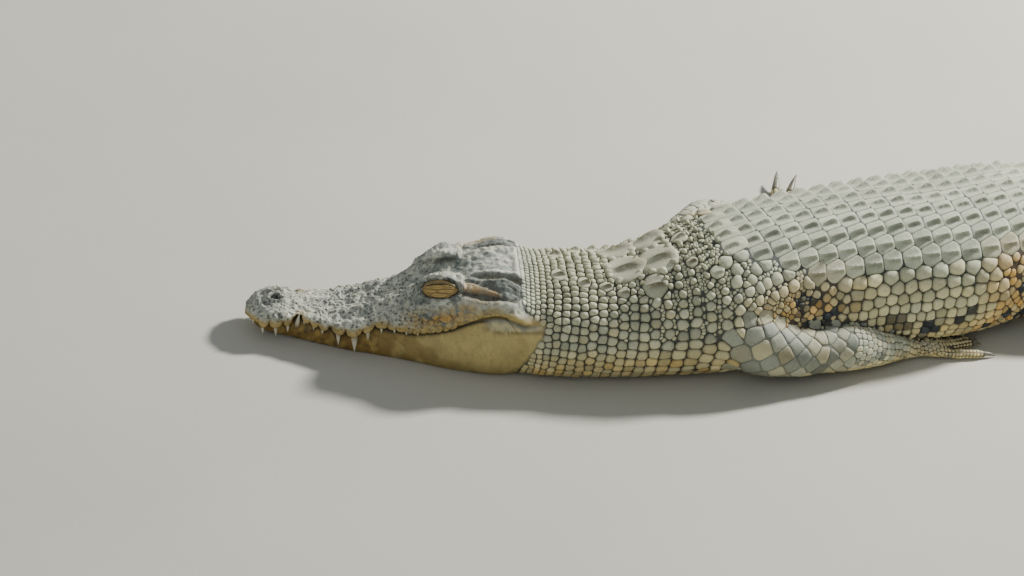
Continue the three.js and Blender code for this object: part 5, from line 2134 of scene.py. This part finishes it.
class CROCODILE_OT_eyes(bpy.types.Operator):
    """Builds the shut, wrinkled lids of both eyes"""

    bl_idname = "crocodile.eyes"
    bl_label = "Eyes"

    def execute(self, context):
        _, colours = settings(context)
        for side, hand in (("left", 1), ("right", -1)):
            obj = lid_object(f"lids_{side}", hand, colours)
            hand_in(obj, "eyelid", colours, [f"eye_{side}"])
        return {"FINISHED"}


class CROCODILE_OT_teeth(bpy.types.Operator):
    """Builds the teeth that show with the jaws shut"""

    bl_idname = "crocodile.teeth"
    bl_label = "Teeth"

    def execute(self, context):
        _, colours = settings(context)
        spikes = [upper_tooth(*tooth, hand) for tooth in UPPER_TEETH for hand in (1, -1)]
        spikes += [notch_tooth(hand) for hand in (1, -1)]
        obj, level = spikes_object("teeth", 12, spikes)
        tint = mix(colours.tooth_root, colours.tooth, ramp(0.05, 0.55, level)[:, None])
        paint(obj, tint)
        hand_in(obj, "tooth", colours)
        return {"FINISHED"}


class CROCODILE_OT_claws(bpy.types.Operator):
    """Builds the curved claws, three to each foot"""

    bl_idname = "crocodile.claws"
    bl_label = "Claws"

    def execute(self, context):
        _, colours = settings(context)
        for _, leg, hand, foot in LEGS:
            spikes = [claw_spike(digit, hand) for digit in leg["digits"] if digit[3]]
            obj, level = spikes_object(f"claws_{foot}", 10, spikes)
            tint = colours.claw * (1.1 - 0.75 * level[:, None])
            paint(obj, tint)
            hand_in(obj, "claw", colours, [f"claw_{foot}_{i + 1}" for i in range(len(spikes))])
        return {"FINISHED"}


AIM = (-0.6621, -0.2148, 0.05)  # a point of the head, which the camera holds at a pixel of its frame
AIM_PIXEL = (496.7, 299.7)
FRAME_SIZE = (1024, 576)
SENSOR_WIDTH = 36
FLOOR_SIZE = 14
SKY_COLOUR = (0.9, 0.95, 1.0, 1)
LIT_PLACE = (-0.2621, -0.1148, 0.05)  # what the lights point at
# Name, place, size, setting that holds its power, and colour.
LIGHTS = (
    ("key_light", (2.0, 2.0, 2.5), 0.5, "key_power", (1.0, 0.98, 0.93)),
    ("fill_light", (-1.6, -3.2, 2.2), 2.6, "fill_power", (0.93, 0.96, 1.0)),
)


class CROCODILE_OT_stage(bpy.types.Operator):
    """Builds the pale floor, the soft lights and the camera"""

    bl_idname = "crocodile.stage"
    bl_label = "Stage"

    def execute(self, context):
        _, colours = settings(context)
        stage = plain(context.scene.crocodile_stage)
        deselect_all()
        bpy.ops.mesh.primitive_plane_add(size=FLOOR_SIZE, location=(0, 0, 0))
        floor = context.view_layer.objects.active
        floor.name = "floor"
        floor.data.materials.append(finish_of("floor", colours))
        add_camera(context, stage)
        for name, location, size, power, colour in LIGHTS:
            add_light(name, location, size, getattr(stage, power), colour)
        world = context.scene.world or bpy.data.worlds.new("sky")
        context.scene.world = world
        world.use_nodes = True
        sky = world.node_tree.nodes["Background"]
        sky.inputs["Color"].default_value = SKY_COLOUR
        sky.inputs["Strength"].default_value = stage.sky
        return {"FINISHED"}


def add_light(name, location, size, power, colour):
    light = bpy.data.lights.new(name, "AREA")
    light.shape = "DISK"
    light.size = size
    light.energy = power
    light.color = colour
    obj = bpy.data.objects.new(name, light)
    obj.location = location
    obj.rotation_euler = (Vector(LIT_PLACE) - Vector(location)).to_track_quat("-Z", "Y").to_euler()
    bpy.context.scene.collection.objects.link(obj)


def add_camera(context, stage):
    """A camera whose frame holds the aim at its pixel."""
    ahead = Vector((0, math.cos(stage.rise), -math.sin(stage.rise)))
    level = Vector((1, 0, 0))
    overhead = level.cross(ahead)
    right = math.cos(stage.roll) * level - math.sin(stage.roll) * overhead
    up = math.sin(stage.roll) * level + math.cos(stage.roll) * overhead
    focal = stage.lens / SENSOR_WIDTH * FRAME_SIZE[0]
    over, under = ((pixel - size / 2) / focal for pixel, size in zip(AIM_PIXEL, FRAME_SIZE))
    ray = ahead + over * right - under * up
    data = bpy.data.cameras.new("camera")
    data.sensor_width = SENSOR_WIDTH
    data.lens = stage.lens
    data.clip_end = 100
    camera = bpy.data.objects.new("camera", data)
    turn = Matrix((right, up, -ahead)).transposed().to_4x4()
    camera.matrix_world = Matrix.Translation(Vector(AIM) - ray * stage.distance) @ turn
    context.scene.collection.objects.link(camera)
    context.scene.camera = camera


class CROCODILE_PT_panel(bpy.types.Panel):
    """Lists what builds the crocodile"""

    bl_idname = "CROCODILE_PT_panel"
    bl_label = "Crocodile"
    bl_space_type = "VIEW_3D"
    bl_region_type = "UI"
    bl_category = "Crocodile"

    def draw(self, context):
        layout = self.layout
        for group in GROUPS:
            values = getattr(context.scene, group)
            box = layout.box()
            for key in values.__annotations__:
                box.prop(values, key)
        for operator in OPERATORS:
            layout.operator(operator.bl_idname)


GROUPS = {
    "crocodile_sizes": CrocodileSizes,
    "crocodile_colours": CrocodileColours,
    "crocodile_stage": CrocodileStage,
}
OPERATORS = (CROCODILE_OT_skin, CROCODILE_OT_scutes, CROCODILE_OT_scales, CROCODILE_OT_crest,
             CROCODILE_OT_eyes, CROCODILE_OT_teeth, CROCODILE_OT_claws, CROCODILE_OT_stage)


CLASSES = (*GROUPS.values(), *OPERATORS, CROCODILE_PT_panel)


def register():
    for kind in CLASSES:
        bpy.utils.register_class(kind)
    for name, kind in GROUPS.items():
        setattr(bpy.types.Scene, name, bpy.props.PointerProperty(type=kind))


def unregister():
    for name in GROUPS:
        delattr(bpy.types.Scene, name)
    for kind in reversed(CLASSES):
        bpy.utils.unregister_class(kind)


def main():
    register()
    bpy.ops.crocodile.skin()
    bpy.ops.crocodile.scutes()
    bpy.ops.crocodile.scales()
    bpy.ops.crocodile.crest()
    bpy.ops.crocodile.eyes()
    bpy.ops.crocodile.teeth()
    bpy.ops.crocodile.claws()
    bpy.ops.crocodile.stage()


if __name__ == "__main__":
    main()
